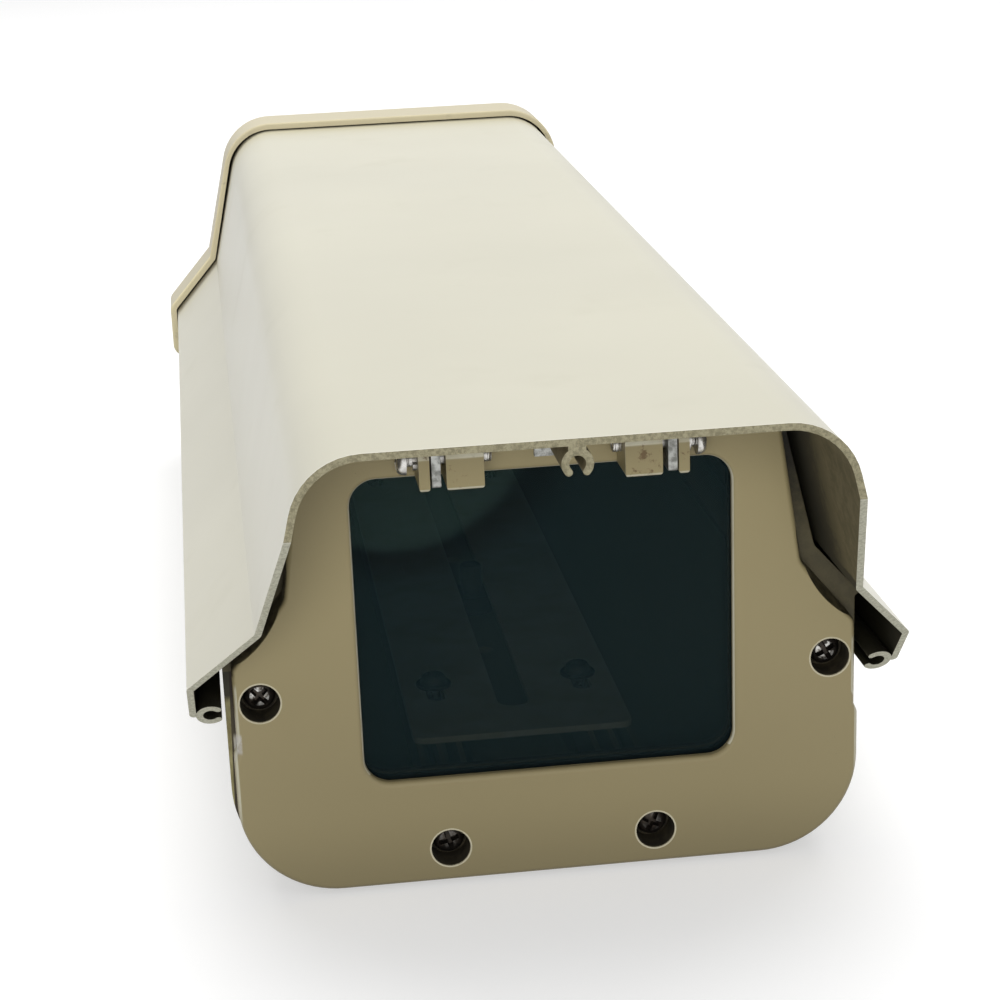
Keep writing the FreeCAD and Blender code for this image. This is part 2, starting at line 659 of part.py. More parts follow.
def pivot_screw(side):
    head_x = HINGE_X + EAR_INNER_X + EAR_THICKNESS + PIVOT_EXPOSED
    shank = rod_x(HINGE_X + BLOCK_INNER_X - PIVOT_TIP, head_x, PIVOT_Y, PIVOT_Z, PIVOT_SCREW_R)
    head = rod_x(head_x, head_x + PIVOT_HEAD, PIVOT_Y, PIVOT_Z, PIVOT_HEAD_R)
    rim = [edge for edge in head.Edges if edge.BoundBox.XMin > head_x + PIVOT_HEAD / 2]
    head = head.makeFillet(PIVOT_HEAD * 0.4, rim)
    screw = head.fuse(shank).removeSplitter()
    return screw if side > 0 else screw.mirror(Vector(HINGE_X, 0, 0), Vector(1, 0, 0))


def lid_channel(x, z, open_x, open_z):
    """Screw channel along the whole lid: a ring with round tips, open towards one side."""
    def place(along, across):
        return Vector(x + open_x * along - open_z * across, LID_FRONT_Y, z + open_z * along + open_x * across)

    along, across = LID_CHANNEL_TIP_ALONG, LID_CHANNEL_TIP_ACROSS
    outer, inner, tip = {}, {}, {}
    for side in SIDES:
        for points, radius in ((outer, LID_CHANNEL_R), (inner, LID_CHANNEL_HOLE_R)):
            share = radius / LID_CHANNEL_MEAN_R
            points[side] = place(along * share, side * across * share)
        share = LID_CHANNEL_TIP_R / LID_CHANNEL_MEAN_R
        tip[side] = place(along + across * share, side * (across - along * share))
    edges = [
        Part.Arc(outer[-1], place(-LID_CHANNEL_R, 0), outer[1]).toShape(),
        Part.Arc(outer[1], tip[1], inner[1]).toShape(),
        Part.Arc(inner[1], place(-LID_CHANNEL_HOLE_R, 0), inner[-1]).toShape(),
        Part.Arc(inner[-1], tip[-1], outer[-1]).toShape(),
    ]
    return Part.Face(Part.Wire(edges)).extrude(Vector(0, CAP_INNER_Y - LID_FRONT_Y, 0))


def roof_channel():
    """Channel open downwards, and its web to the roof."""
    half_web = LID_CHANNEL_R * 0.55
    web = box(-half_web, half_web, LID_FRONT_Y, CAP_INNER_Y,
              ROOF_CHANNEL_Z + LID_CHANNEL_MEAN_R, ROOF_UNDER + LID_WALL / 2)
    return lid_channel(0, ROOF_CHANNEL_Z, 0, -1).fuse(web)


def lip_channel(side):
    """Channel open towards the tray, and its web to the lip."""
    x0, x1 = sorted((side * (LIP_CHANNEL_X + LID_CHANNEL_MEAN_R), side * (LIP_HALF_WIDTH - LID_WALL / 2)))
    web = box(x0, x1, LID_FRONT_Y, CAP_INNER_Y, LIP_BOTTOM, LIP_BOTTOM + LID_WALL)
    return lid_channel(side * LIP_CHANNEL_X, LIP_CHANNEL_Z, -side, 0).fuse(web)


def front_rake():
    """Wedge that cuts the lid's sides back below the roof's square front edge."""
    low = LIP_BOTTOM - LID_CHANNEL_R - 1
    back = LID_FRONT_Y + (RAKE_TOP - low) * math.tan(math.radians(RAKE_ANGLE))
    corners = [(LID_FRONT_Y - 1, RAKE_TOP, 0), (LID_FRONT_Y, RAKE_TOP, 0), (back, low, 0),
               (LID_FRONT_Y - 1, low, 0)]
    return along_x(corners, -LIP_HALF_WIDTH - 1, LIP_HALF_WIDTH + 1)


def lid_shell():
    outline = lid_outline(0) + list(reversed(lid_outline(LID_WALL)))
    shell = along_y(outline, LID_FRONT_Y, CAP_INNER_Y)
    lid = fuse([shell, roof_channel()] + [lip_channel(side) for side in SIDES])
    lid = lid.cut(front_rake())
    screw_y = PIVOT_Y - WEB_FRONT / 2 + WEB_BACK / 2
    bracket_hole = rod_z(0, screw_y, ROOF_CHANNEL_BOTTOM - 1, ROOF_UNDER, BRACKET_SCREW_R + SCREW_FIT)
    return lid.cut(bracket_hole)


def lid_end_cap():
    """Deep cast cap: a rim around the lid's end, open below between the lips."""
    outer = lid_outline(-CAP_PROUD)
    outer[0] = (outer[0][0], CAP_BOTTOM, CAP_CORNER_R)
    outer[-1] = (outer[-1][0], CAP_BOTTOM, CAP_CORNER_R)
    front_y = CAP_BACK_Y - CAP_DEPTH
    body = along_y(outer, front_y, CAP_BACK_Y)
    body = ends_filleted(body, CAP_EDGE_R, CAP_BACK_Y)
    body = ends_filleted(body, CAP_RIM_R, front_y)
    hollow = lid_outline(-CAP_CLEARANCE)
    hollow[0] = (hollow[0][0], CAP_BOTTOM - 1, 0)
    hollow[-1] = (hollow[-1][0], CAP_BOTTOM - 1, 0)
    for i, slack in ((3, CAP_CORNER_SLACK), (4, -CAP_CORNER_SLACK)):
        hollow[i] = (hollow[i][0] + slack, hollow[i][1], hollow[i][2])
    cap = body.cut(along_y(hollow, front_y, CAP_INNER_Y))
    cap = cap.cut(rod_y(0, CAP_INNER_Y, CAP_BACK_Y, LOCK_Z, LOCK_BARREL_R + SCREW_HOLE_FIT))
    for x, z in cap_screw_places():
        cap = cap.cut(rod_y(x, CAP_INNER_Y, CAP_BACK_Y, z, LID_CHANNEL_HOLE_R + SCREW_HOLE_FIT))
    return cap


def cap_screw_places():
    """The three channels in the lid's end."""
    return [(0, ROOF_CHANNEL_Z), (-LIP_CHANNEL_X, LIP_CHANNEL_Z), (LIP_CHANNEL_X, LIP_CHANNEL_Z)]


def end_cap_screws():
    radius = LID_CHANNEL_HOLE_R - SCREW_FIT
    return Part.makeCompound([
        pan_screw_y(x, z, CAP_BACK_Y, -1, radius, CAP_BACK_WALL + CAP_SCREW_GRIP, radius * 1.8, radius * 1.2)
        for x, z in cap_screw_places()])


def bracket_arm(side):
    """Arm beside a pivot block, round at the lower back so that it swings clear of the plate."""
    front_y, back_y = PIVOT_Y - ARM_REACH, PIVOT_Y + WEB_BACK
    low = PIVOT_Z - ARM_REACH
    x0, x1 = hinge_span(side, ARM_INNER_X, ARM_INNER_X + ARM_THICKNESS)
    arm = along_x([
        (back_y, ROOF_CHANNEL_BOTTOM, 0), (front_y, ROOF_CHANNEL_BOTTOM, 0), (front_y, low, ARM_EDGE_R),
        (back_y, low, WEB_BACK)], x0, x1)
    return arm.cut(rod_x(x0, x1, PIVOT_Y, PIVOT_Z, PIVOT_SCREW_R + PIVOT_FIT))


def hinge_bracket():
    """Bare metal strip under the roof channel, with an arm at each end and a tab."""
    y0, y1 = PIVOT_Y - WEB_FRONT, PIVOT_Y + WEB_BACK
    top = ROOF_CHANNEL_BOTTOM
    reach = ARM_INNER_X + ARM_THICKNESS
    web = box(HINGE_X - reach, HINGE_X + reach, y0, y1, top - WEB_THICKNESS, top)
    tab = box(TAB_X - TAB_HALF_WIDTH, TAB_X + TAB_HALF_WIDTH, y0, y0 + TAB_THICKNESS,
              PIVOT_Z + TAB_BOTTOM_UP, top)
    bracket = fuse([web, tab] + [bracket_arm(side) for side in SIDES])
    screw_y = (y0 + y1) / 2
    return bracket.cut(rod_z(0, screw_y, top - WEB_THICKNESS, top, BRACKET_SCREW_R + SCREW_FIT))


def bracket_screw():
    seat = ROOF_CHANNEL_BOTTOM - WEB_THICKNESS
    y = PIVOT_Y - WEB_FRONT / 2 + WEB_BACK / 2
    shank = rod_z(0, y, seat, ROOF_CHANNEL_Z + LID_CHANNEL_HOLE_R, BRACKET_SCREW_R)
    head = rod_z(0, y, seat - BRACKET_SCREW_HEAD, seat, BRACKET_SCREW_HEAD_R)
    rim = [edge for edge in head.Edges if edge.BoundBox.ZMax < seat - BRACKET_SCREW_HEAD / 2]
    head = head.makeFillet(BRACKET_SCREW_HEAD * 0.4, rim)
    return head.fuse(shank).removeSplitter()


def lid_seal(side):
    """Rubber trim clipped over the top edge of a tray wall."""
    outer_x = TRAY_HALF_WIDTH + SEAL_LEG
    inner_x = TRAY_HALF_WIDTH - TRAY_WALL - SEAL_LEG
    low = TRAY_WALL_TOP - SEAL_SKIRT
    trim = along_y(rectangle(inner_x, outer_x, low, TRAY_WALL_TOP + SEAL_CROWN, 0.5),
                   TRAY_FRONT_Y, TRAY_BACK_Y)
    slot = rectangle(TRAY_HALF_WIDTH - TRAY_WALL, TRAY_HALF_WIDTH, low - 1, TRAY_WALL_TOP, 0)
    trim = trim.cut(along_y(slot, TRAY_FRONT_Y, TRAY_BACK_Y))
    return trim if side > 0 else trim.mirror(Vector(0, 0, 0), Vector(1, 0, 0))


def tray_end_corners(inward):
    """The tray's end outline as a plain plate, moved in by a distance."""
    half = TRAY_HALF_WIDTH - inward
    return mirrored([(half, inward, TRAY_CORNER_R - inward), (half, TRAY_WALL_TOP - inward, 1.0)])


def rear_gasket():
    y0, y1 = TRAY_BACK_Y, REAR_PLATE_Y
    half = TRAY_HALF_WIDTH - REAR_GASKET_WIDTH
    inner = mirrored([
        (half, REAR_GASKET_WIDTH, TRAY_CORNER_R - REAR_GASKET_WIDTH), (half, TRAY_WALL_TOP + 1, 0)])
    ring = along_y(tray_end_corners(GASKET_SET_IN), y0, y1).cut(along_y(inner, y0, y1))
    pads = []
    for x, z in plate_screw_places():
        pads.append(rod_y(x, y0, y1, z, SCREW_BOSS_R).common(
            along_y(tray_end_corners(GASKET_SET_IN), y0, y1)))
    ring = fuse([ring] + pads)
    for x, z in plate_screw_places():
        ring = ring.cut(rod_y(x, y0, y1, z, PLATE_SCREW_R + SCREW_HOLE_FIT))
    return ring


def rear_plate():
    y0, y1 = REAR_PLATE_Y, REAR_FACE_Y
    plate = ends_filleted(along_y(tray_end_corners(0), y0, y1), REAR_EDGE_R, y1)
    for x, z in plate_screw_places():
        plate = plate.cut(rod_y(x, y0, y1, z, PLATE_SCREW_R + SCREW_HOLE_FIT))
    for x in GLAND_X:
        plate = plate.cut(rod_y(x, y0, y1, GLAND_Z, GLAND_THREAD_R + GLAND_FIT))
    for x, z in keeper_screw_places():
        plate = plate.cut(rod_y(x, y0, y1, z, KEEPER_SCREW_R + SCREW_FIT))
    return plate


def rear_plate_screws():
    length = REAR_THICKNESS + SHEET_GASKET + PLATE_SCREW_GRIP
    return Part.makeCompound([
        pan_screw_y(x, z, REAR_FACE_Y, -1, PLATE_SCREW_R, length, PLATE_SCREW_HEAD_R, REAR_SCREW_HEAD)
        for x, z in plate_screw_places()])


def gland_body(x):
    """Hexagon outside the plate, threads both ways, seat for the seal in the outer end."""
    flange_y = REAR_FACE_Y + GLAND_FLANGE
    end_y = flange_y + GLAND_THREAD_OUT
    start_y = REAR_PLATE_Y - GLAND_THREAD_IN
    body = hexagon(GLAND_ACROSS_FLATS, x, REAR_FACE_Y, flange_y, GLAND_Z)
    body = body.fuse(rod_y(x, start_y, end_y, GLAND_Z, GLAND_THREAD_R))
    body = body.cut(rod_y(x, start_y, end_y, GLAND_Z, GLAND_BORE_R))
    seat = rod_y(x, flange_y - 1, end_y, GLAND_Z, GLAND_SEAL_SEAT_R + GLAND_FIT)
    return body.cut(seat).removeSplitter()


def gland_seal(x):
    start_y = REAR_FACE_Y + GLAND_FLANGE - 1
    ring = rod_y(x, start_y, start_y + GLAND_SEAL_LENGTH, GLAND_Z, GLAND_SEAL_SEAT_R)
    return ring.cut(rod_y(x, start_y, start_y + GLAND_SEAL_LENGTH, GLAND_Z, GLAND_CABLE_R))


def gland_nut(x):
    """Domed hexagon cap nut with the cable's way out in its end."""
    y0 = REAR_FACE_Y + GLAND_FLANGE + GLAND_NUT_GAP
    y1 = y0 + GLAND_NUT_LENGTH
    nut = hexagon(GLAND_ACROSS_FLATS, x, y0, y1, GLAND_Z)
    reach = GLAND_ACROSS_FLATS / 2 / math.cos(math.pi / 6)
    cone = Part.makeCone(reach + GLAND_NUT_LENGTH, GLAND_THREAD_R - 1, reach + GLAND_NUT_LENGTH,
                         Vector(x, y1 - reach - GLAND_NUT_LENGTH, GLAND_Z), Vector(0, 1, 0))
    nut = nut.common(cone)
    nut = nut.cut(rod_y(x, y0, y1 - GLAND_NUT_WALL, GLAND_Z, GLAND_THREAD_R + GLAND_FIT))
    return nut.cut(rod_y(x, y0, y1, GLAND_Z, GLAND_BORE_R))


def gland_locknut(x):
    nut = hexagon(GLAND_ACROSS_FLATS, x, REAR_PLATE_Y - GLAND_LOCKNUT, REAR_PLATE_Y, GLAND_Z)
    return nut.cut(rod_y(x, REAR_PLATE_Y - GLAND_LOCKNUT, REAR_PLATE_Y, GLAND_Z, GLAND_THREAD_R + GLAND_FIT))


def keeper_screw_places():
    z = TRAY_WALL_TOP - KEEPER_FOOT / 2
    far = KEEPER_NEAR_X + KEEPER_WIDTH
    return [(-KEEPER_NEAR_X - KEEPER_WIDTH / 4, z), (-far + KEEPER_WIDTH / 4, z)]


def lock_keeper():
    """Angle bracket on the rear plate: the cam turns in under its bent top."""
    x0, x1 = -KEEPER_NEAR_X - KEEPER_WIDTH, -KEEPER_NEAR_X
    ledge = LOCK_Z + CAM_HALF_WIDTH + KEEPER_CLEARANCE
    y1 = REAR_PLATE_Y
    top = ledge + KEEPER_THICKNESS
    corners = [
        (y1, TRAY_WALL_TOP - KEEPER_FOOT, 0), (y1, top, KEEPER_THICKNESS * 1.2),
        (y1 - KEEPER_REACH, top, 0), (y1 - KEEPER_REACH, ledge, 0),
        (y1 - KEEPER_THICKNESS, ledge, KEEPER_THICKNESS * 0.2),
        (y1 - KEEPER_THICKNESS, TRAY_WALL_TOP - KEEPER_FOOT, 0),
    ]
    keeper = along_x(corners, x0, x1)
    for x, z in keeper_screw_places():
        keeper = keeper.cut(rod_y(x, y1 - KEEPER_THICKNESS, y1, z, KEEPER_SCREW_R + SCREW_FIT))
    return keeper


def keeper_screws():
    length = REAR_THICKNESS + KEEPER_THICKNESS + 1
    return Part.makeCompound([
        pan_screw_y(x, z, REAR_FACE_Y, -1, KEEPER_SCREW_R, length, KEEPER_SCREW_HEAD_R, KEEPER_SCREW_HEAD)
        for x, z in keeper_screw_places()])


def lock_barrel():
    inner_y = CAP_INNER_Y - LOCK_BARREL_LENGTH + CAP_BACK_WALL
    barrel = rod_y(0, inner_y, CAP_BACK_Y, LOCK_Z, LOCK_BARREL_R)
    face = ends_filleted(rod_y(0, CAP_BACK_Y, CAP_BACK_Y + LOCK_FACE, LOCK_Z, LOCK_FACE_R),
                         LOCK_FACE * 0.6, CAP_BACK_Y + LOCK_FACE)
    bore = rod_y(0, inner_y, CAP_BACK_Y + LOCK_FACE, LOCK_Z, LOCK_PLUG_R + LOCK_PLUG_FIT)
    return barrel.fuse(face).removeSplitter().cut(bore)


def lock_nut():
    nut = hexagon(LOCK_NUT_ACROSS_FLATS, 0, CAP_INNER_Y - LOCK_NUT, CAP_INNER_Y, LOCK_Z)
    return nut.cut(rod_y(0, CAP_INNER_Y - LOCK_NUT, CAP_INNER_Y, LOCK_Z, LOCK_BARREL_R + SCREW_FIT))


def cam_front_y():
    return CAP_INNER_Y - LOCK_BARREL_LENGTH + CAP_BACK_WALL - CAM_GAP - CAM_THICKNESS


def lock_plug():
    """Turning plug with a key slot outside and a square tail for the cam."""
    outer_y = CAP_BACK_Y + LOCK_FACE + LOCK_PLUG_PROUD
    inner_y = cam_front_y() + CAM_THICKNESS
    plug = rod_y(0, inner_y, outer_y, LOCK_Z, LOCK_PLUG_R)
    half = CAM_SQUARE / 2
    tail = box(-half, half, inner_y - CAM_THICKNESS, inner_y, LOCK_Z - half, LOCK_Z + half)
    slot = box(-LOCK_KEY_SLOT / 2, LOCK_KEY_SLOT / 2, outer_y - LOCK_KEY_SLOT_DEPTH, outer_y,
               LOCK_Z - LOCK_PLUG_R * 0.6, LOCK_Z + LOCK_PLUG_R * 0.6)
    return plug.fuse(tail).cut(slot)


def lock_cam():
    y0 = cam_front_y()
    y1 = y0 + CAM_THICKNESS
    half = CAM_HALF_WIDTH
    blade = along_y(rectangle(-half, half, LOCK_Z - CAM_LENGTH, LOCK_Z + half, half * 0.9), y0, y1)
    hole = CAM_SQUARE / 2 + SCREW_FIT
    return blade.cut(box(-hole, hole, y0, y1, LOCK_Z - hole, LOCK_Z + hole))


def cam_screw():
    y1 = cam_front_y()
    head = rod_y(0, y1 - CAM_SCREW_HEAD, y1, LOCK_Z, CAM_SCREW_R * 1.3)
    rim = [edge for edge in head.Edges if edge.BoundBox.YMax < y1 - CAM_SCREW_HEAD / 2]
    return head.makeFillet(CAM_SCREW_HEAD * 0.4, rim)


def slot_corners(x, half_width, y0, y1):
    return [(x - half_width, y0, half_width * 0.999), (x + half_width, y0, half_width * 0.999),
            (x + half_width, y1, half_width * 0.999), (x - half_width, y1, half_width * 0.999)]


def side_slot_spans():
    """Front and back slots, each as its two ends along Y."""
    front = SLED_FRONT_Y + SIDE_SLOT_SET_BACK
    back = SLED_FRONT_Y + SLED_LENGTH - SIDE_SLOT_SET_BACK
    return [(front, front + SIDE_SLOT_LENGTH), (back - SIDE_SLOT_LENGTH, back)]


def camera_sled():
    z0 = RIB_TOP + SLED_LIFT
    z1 = z0 + SLED_THICKNESS
    y0, y1 = SLED_FRONT_Y, SLED_FRONT_Y + SLED_LENGTH
    sled = along_z(rectangle(-SLED_HALF_WIDTH, SLED_HALF_WIDTH, y0, y1, SLED_CORNER_R), z0, z1)
    sled = sled.cut(along_z(
        slot_corners(0, SLED_SLOT_HALF_WIDTH, y0 + SLED_SLOT_SET_BACK, y1 - SLED_SLOT_SET_BACK), z0, z1))
    for side in SIDES:
        for start, end in side_slot_spans():
            corners = slot_corners(side * SLED_CHANNEL_X, SIDE_SLOT_HALF_WIDTH, start, end)
            sled = sled.cut(along_z(corners, z0, z1))
    return sled


def sled_screw_places():
    return [(side * SLED_CHANNEL_X, (start + end) / 2) for side in SIDES for start, end in side_slot_spans()]


def sled_screws():
    seat = RIB_TOP + 2 * SLED_LIFT + SLED_THICKNESS + SLED_WASHER
    screws = []
    for x, y in sled_screw_places():
        shank = rod_z(x, y, seat - SLED_SCREW_LENGTH, seat, SLED_SCREW_R)
        head = rod_z(x, y, seat, seat + SLED_SCREW_HEAD, SLED_SCREW_HEAD_R)
        rim = [edge for edge in head.Edges if edge.BoundBox.ZMin > seat + SLED_SCREW_HEAD / 2]
        screws.append(head.makeFillet(SLED_SCREW_HEAD * 0.4, rim).fuse(shank).removeSplitter())
    return Part.makeCompound(screws)


def sled_washers():
    z0 = RIB_TOP + 2 * SLED_LIFT + SLED_THICKNESS
    rings = []
    for x, y in sled_screw_places():
        ring = rod_z(x, y, z0, z0 + SLED_WASHER, SLED_WASHER_R)
        rings.append(ring.cut(rod_z(x, y, z0, z0 + SLED_WASHER, SLED_SCREW_R + SCREW_FIT)))
    return Part.makeCompound(rings)


def camera_screw():
    """Quarter-inch screw standing up through the sled's slot, with its knob below."""
    y = SLED_FRONT_Y + CAMERA_SCREW_BACK
    seat = RIB_TOP
    neck_top = seat + 2 * SLED_LIFT + SLED_THICKNESS
    neck = rod_z(0, y, seat, neck_top, CAMERA_SCREW_NECK_R)
    thread = rod_z(0, y, neck_top, neck_top + CAMERA_SCREW_PROUD, CAMERA_SCREW_R)
    tip = [edge for edge in thread.Edges if edge.BoundBox.ZMin > neck_top + CAMERA_SCREW_PROUD / 2]
    thread = thread.makeChamfer(0.5, tip)
    knob = rod_z(0, y, seat - CAMERA_KNOB, seat, CAMERA_KNOB_R)
    rim = [edge for edge in knob.Edges if edge.BoundBox.ZMax < seat - CAMERA_KNOB / 2]
    return knob.makeFillet(1.0, rim).fuse([neck, thread]).removeSplitter()


def earth_washer():
    z0, z1 = BAND_TOP, BAND_TOP + EARTH_WASHER
    return rod_z(0, EARTH_Y, z0, z1, EARTH_WASHER_R).cut(rod_z(0, EARTH_Y, z0, z1, EARTH_SCREW_R + SCREW_FIT))


def earth_screw():
    seat = BAND_TOP + EARTH_WASHER
    shank = rod_z(0, EARTH_Y, BAND_TOP - EARTH_STEM, seat, EARTH_SCREW_R)
    head = rod_z(0, EARTH_Y, seat, seat + EARTH_HEAD, EARTH_HEAD_R)
    rim = [edge for edge in head.Edges if edge.BoundBox.ZMin > seat + EARTH_HEAD / 2]
    return head.makeFillet(EARTH_HEAD * 0.4, rim).fuse(shank).removeSplitter()


def housing_nodes():
    nodes = {
        "base_tray": base_tray(),
        "front_plate": front_plate(),
        "window_glass": window_glass(),
        "glass_gasket": glass_gasket(),
        "front_gasket": front_gasket(),
        "bulkhead_plate": bulkhead_plate(),
        "front_plate_screws": front_plate_screws(),
        "pivot_screw_left": pivot_screw(-1),
        "pivot_screw_right": pivot_screw(1),
        "lid_seal_left": lid_seal(-1),
        "lid_seal_right": lid_seal(1),
        "rear_gasket": rear_gasket(),
        "rear_plate": rear_plate(),
        "rear_plate_screws": rear_plate_screws(),
        "lock_keeper": lock_keeper(),
        "keeper_screws": keeper_screws(),
        "earth_screw": earth_screw(),
        "earth_washer": earth_washer(),
        "sled_screws": sled_screws(),
        "sled_washers": sled_washers(),
    }
    for name, x in zip(GLAND_NAMES, GLAND_X):
        nodes["gland_body_" + name] = gland_body(x)
        nodes["gland_seal_" + name] = gland_seal(x)
        nodes["gland_nut_" + name] = gland_nut(x)
        nodes["gland_locknut_" + name] = gland_locknut(x)
    return nodes


def moving_nodes():
    return {
        "lid_shell": lid_shell(),
        "lid_end_cap": lid_end_cap(),
        "end_cap_screws": end_cap_screws(),
        "hinge_bracket": hinge_bracket(),
        "bracket_screw": bracket_screw(),
        "lock_barrel": lock_barrel(),
        "lock_nut": lock_nut(),
        "lock_plug": lock_plug(),
        "lock_cam": lock_cam(),
        "cam_screw": cam_screw(),
        "camera_sled": camera_sled(),
        "camera_screw": camera_screw(),
    }


def main():
    os.makedirs("parts", exist_ok=True)
    nodes = housing_nodes()
    nodes.update(moving_nodes())
    for name, shape in nodes.items():
        shape.exportStep("parts/" + name + ".step")
        box_of = shape.BoundBox
        print(name, len(shape.Solids), "solids", "valid" if shape.isValid() else "NOT VALID",
              round(shape.Volume, 1), [round(v, 2) for v in (
                  box_of.XMin, box_of.XMax, box_of.YMin, box_of.YMax, box_of.ZMin, box_of.ZMax)])


main()
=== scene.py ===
"""Finishes and fine parts of a security camera housing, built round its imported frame."""

import functools
import json
import math
import random

import bmesh
import bpy
from mathutils import Matrix, Vector

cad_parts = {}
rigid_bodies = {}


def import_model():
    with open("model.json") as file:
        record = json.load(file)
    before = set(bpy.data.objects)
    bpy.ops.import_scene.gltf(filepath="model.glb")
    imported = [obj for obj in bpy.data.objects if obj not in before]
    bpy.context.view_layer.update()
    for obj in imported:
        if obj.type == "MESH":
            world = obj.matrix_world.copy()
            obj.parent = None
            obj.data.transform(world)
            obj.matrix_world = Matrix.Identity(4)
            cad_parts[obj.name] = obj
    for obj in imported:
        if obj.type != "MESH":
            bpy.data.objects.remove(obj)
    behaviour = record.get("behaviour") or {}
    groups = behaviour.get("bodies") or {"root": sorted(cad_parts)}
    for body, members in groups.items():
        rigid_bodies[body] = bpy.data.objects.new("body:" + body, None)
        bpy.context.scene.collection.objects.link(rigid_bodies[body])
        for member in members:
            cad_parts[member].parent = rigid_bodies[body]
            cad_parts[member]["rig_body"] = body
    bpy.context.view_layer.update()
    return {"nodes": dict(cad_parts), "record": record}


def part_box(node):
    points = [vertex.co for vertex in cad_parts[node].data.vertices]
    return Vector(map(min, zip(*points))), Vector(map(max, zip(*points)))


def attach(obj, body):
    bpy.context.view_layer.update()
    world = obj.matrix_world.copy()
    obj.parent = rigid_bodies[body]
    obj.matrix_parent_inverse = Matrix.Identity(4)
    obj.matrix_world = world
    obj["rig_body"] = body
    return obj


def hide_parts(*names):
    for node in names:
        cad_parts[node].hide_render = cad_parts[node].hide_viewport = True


bl_info = {
    "name": "Security Camera Housing",
    "version": (1, 0, 0),
    "blender": (4, 5, 0),
    "location": "View3D > Sidebar > Housing",
    "description": "Dresses a hooded camera housing and sets its studio",
    "category": "Object",
}

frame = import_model()
NODES = frame["nodes"]
SLOTS = {entry["node"]: entry["material_slot"] for entry in frame["record"]["subparts"]}
MM = 0.001
SIDES = {"left": -1, "right": 1}
GLANDS = ("left", "centre", "right")


# Sizes and colours that a user would change


class HousingPaint(bpy.types.PropertyGroup):
    """Colours and gloss of the painted metal."""

    lid: bpy.props.FloatVectorProperty(
        name="Lid", description="Paint of the extruded lid", subtype="COLOR", size=3,
        default=(0.53, 0.51, 0.40), min=0, max=1)
    cap: bpy.props.FloatVectorProperty(
        name="End Cap", description="Paint of the cast end cap", subtype="COLOR", size=3,
        default=(0.50, 0.45, 0.31), min=0, max=1)
    casting: bpy.props.FloatVectorProperty(
        name="Castings", description="Paint of the front plate and rear plate", subtype="COLOR",
        size=3, default=(0.347, 0.290, 0.153), min=0, max=1)
    tray: bpy.props.FloatVectorProperty(
        name="Tray", description="Paint of the extruded tray", subtype="COLOR", size=3,
        default=(0.54, 0.49, 0.30), min=0, max=1)
    # painted shade: the sheet's paint is a darkened copy of the castings' taupe
    bulkhead: bpy.props.FloatVectorProperty(
        name="Bulkhead", description="Paint of the sheet behind the front plate", subtype="COLOR", size=3,
        default=(0.094, 0.080, 0.041), min=0, max=1)
    lid_roughness: bpy.props.FloatProperty(
        name="Lid Roughness", description="Roughness of the lid's glossy paint", default=0.29, min=0, max=1,
        subtype="FACTOR")
    casting_roughness: bpy.props.FloatProperty(
        name="Casting Roughness", description="Roughness of the castings' satin paint", default=0.42, min=0,
        max=1, subtype="FACTOR")
    edge: bpy.props.FloatProperty(
        name="Edge Radius", description="Rounding that the paint leaves on sharp edges", default=0.3 * MM,
        min=0, unit="LENGTH", precision=5)


class HousingFittings(bpy.types.PropertyGroup):
    """Sizes of the screws and small fittings."""

    recess_reach: bpy.props.FloatProperty(
        name="Recess Reach", description="Half length of a cross recess, as a share of the head's radius",
        default=0.62, min=0.2, max=0.8, subtype="FACTOR")
    recess_width: bpy.props.FloatProperty(
        name="Recess Width", description="Width of a cross recess, as a share of the head's radius",
        default=0.30, min=0.1, max=0.5, subtype="FACTOR")
    thread_pitch: bpy.props.FloatProperty(
        name="Thread Pitch", description="Pitch of the pivot screws' bare thread", default=0.5 * MM,
        min=0.2 * MM, unit="LENGTH", precision=5)
    washer_wire: bpy.props.FloatProperty(
        name="Spring Washer Wire", description="Thickness of the spring washer's wire", default=0.9 * MM,
        min=0.2 * MM, unit="LENGTH", precision=5)


class HousingStudio(bpy.types.PropertyGroup):
    """Lamps, floor and lens."""

    floor: bpy.props.FloatVectorProperty(
        name="Floor", description="Colour of the floor", subtype="COLOR", size=3,
        default=(0.62, 0.62, 0.62), min=0, max=1)
    bounce: bpy.props.FloatVectorProperty(
        name="Bounce", description="Colour of the floor for the light that it throws back", subtype="COLOR",
        size=3, default=(0.20, 0.20, 0.19), min=0, max=1)
    lamp_power: bpy.props.FloatProperty(
        name="Overhead Power", description="Power of the soft overhead lamp", default=37.0, min=0,
        unit="POWER")
    front_power: bpy.props.FloatProperty(
        name="Front Power", description="Power of the soft lamp before the window", default=35.0, min=0,
        unit="POWER")
    fill: bpy.props.FloatProperty(
        name="Fill", description="Strength of the even light from all round", default=0.47, min=0)
    lens: bpy.props.FloatProperty(
        name="Lens", description="Focal length of the camera in millimetres", default=87.74, min=10,
        unit="CAMERA")


def paint_settings():
    return bpy.context.scene.housing_paint


def fitting_settings():
    return bpy.context.scene.housing_fittings


def studio_settings():
    return bpy.context.scene.housing_studio


# Node trees written as expressions


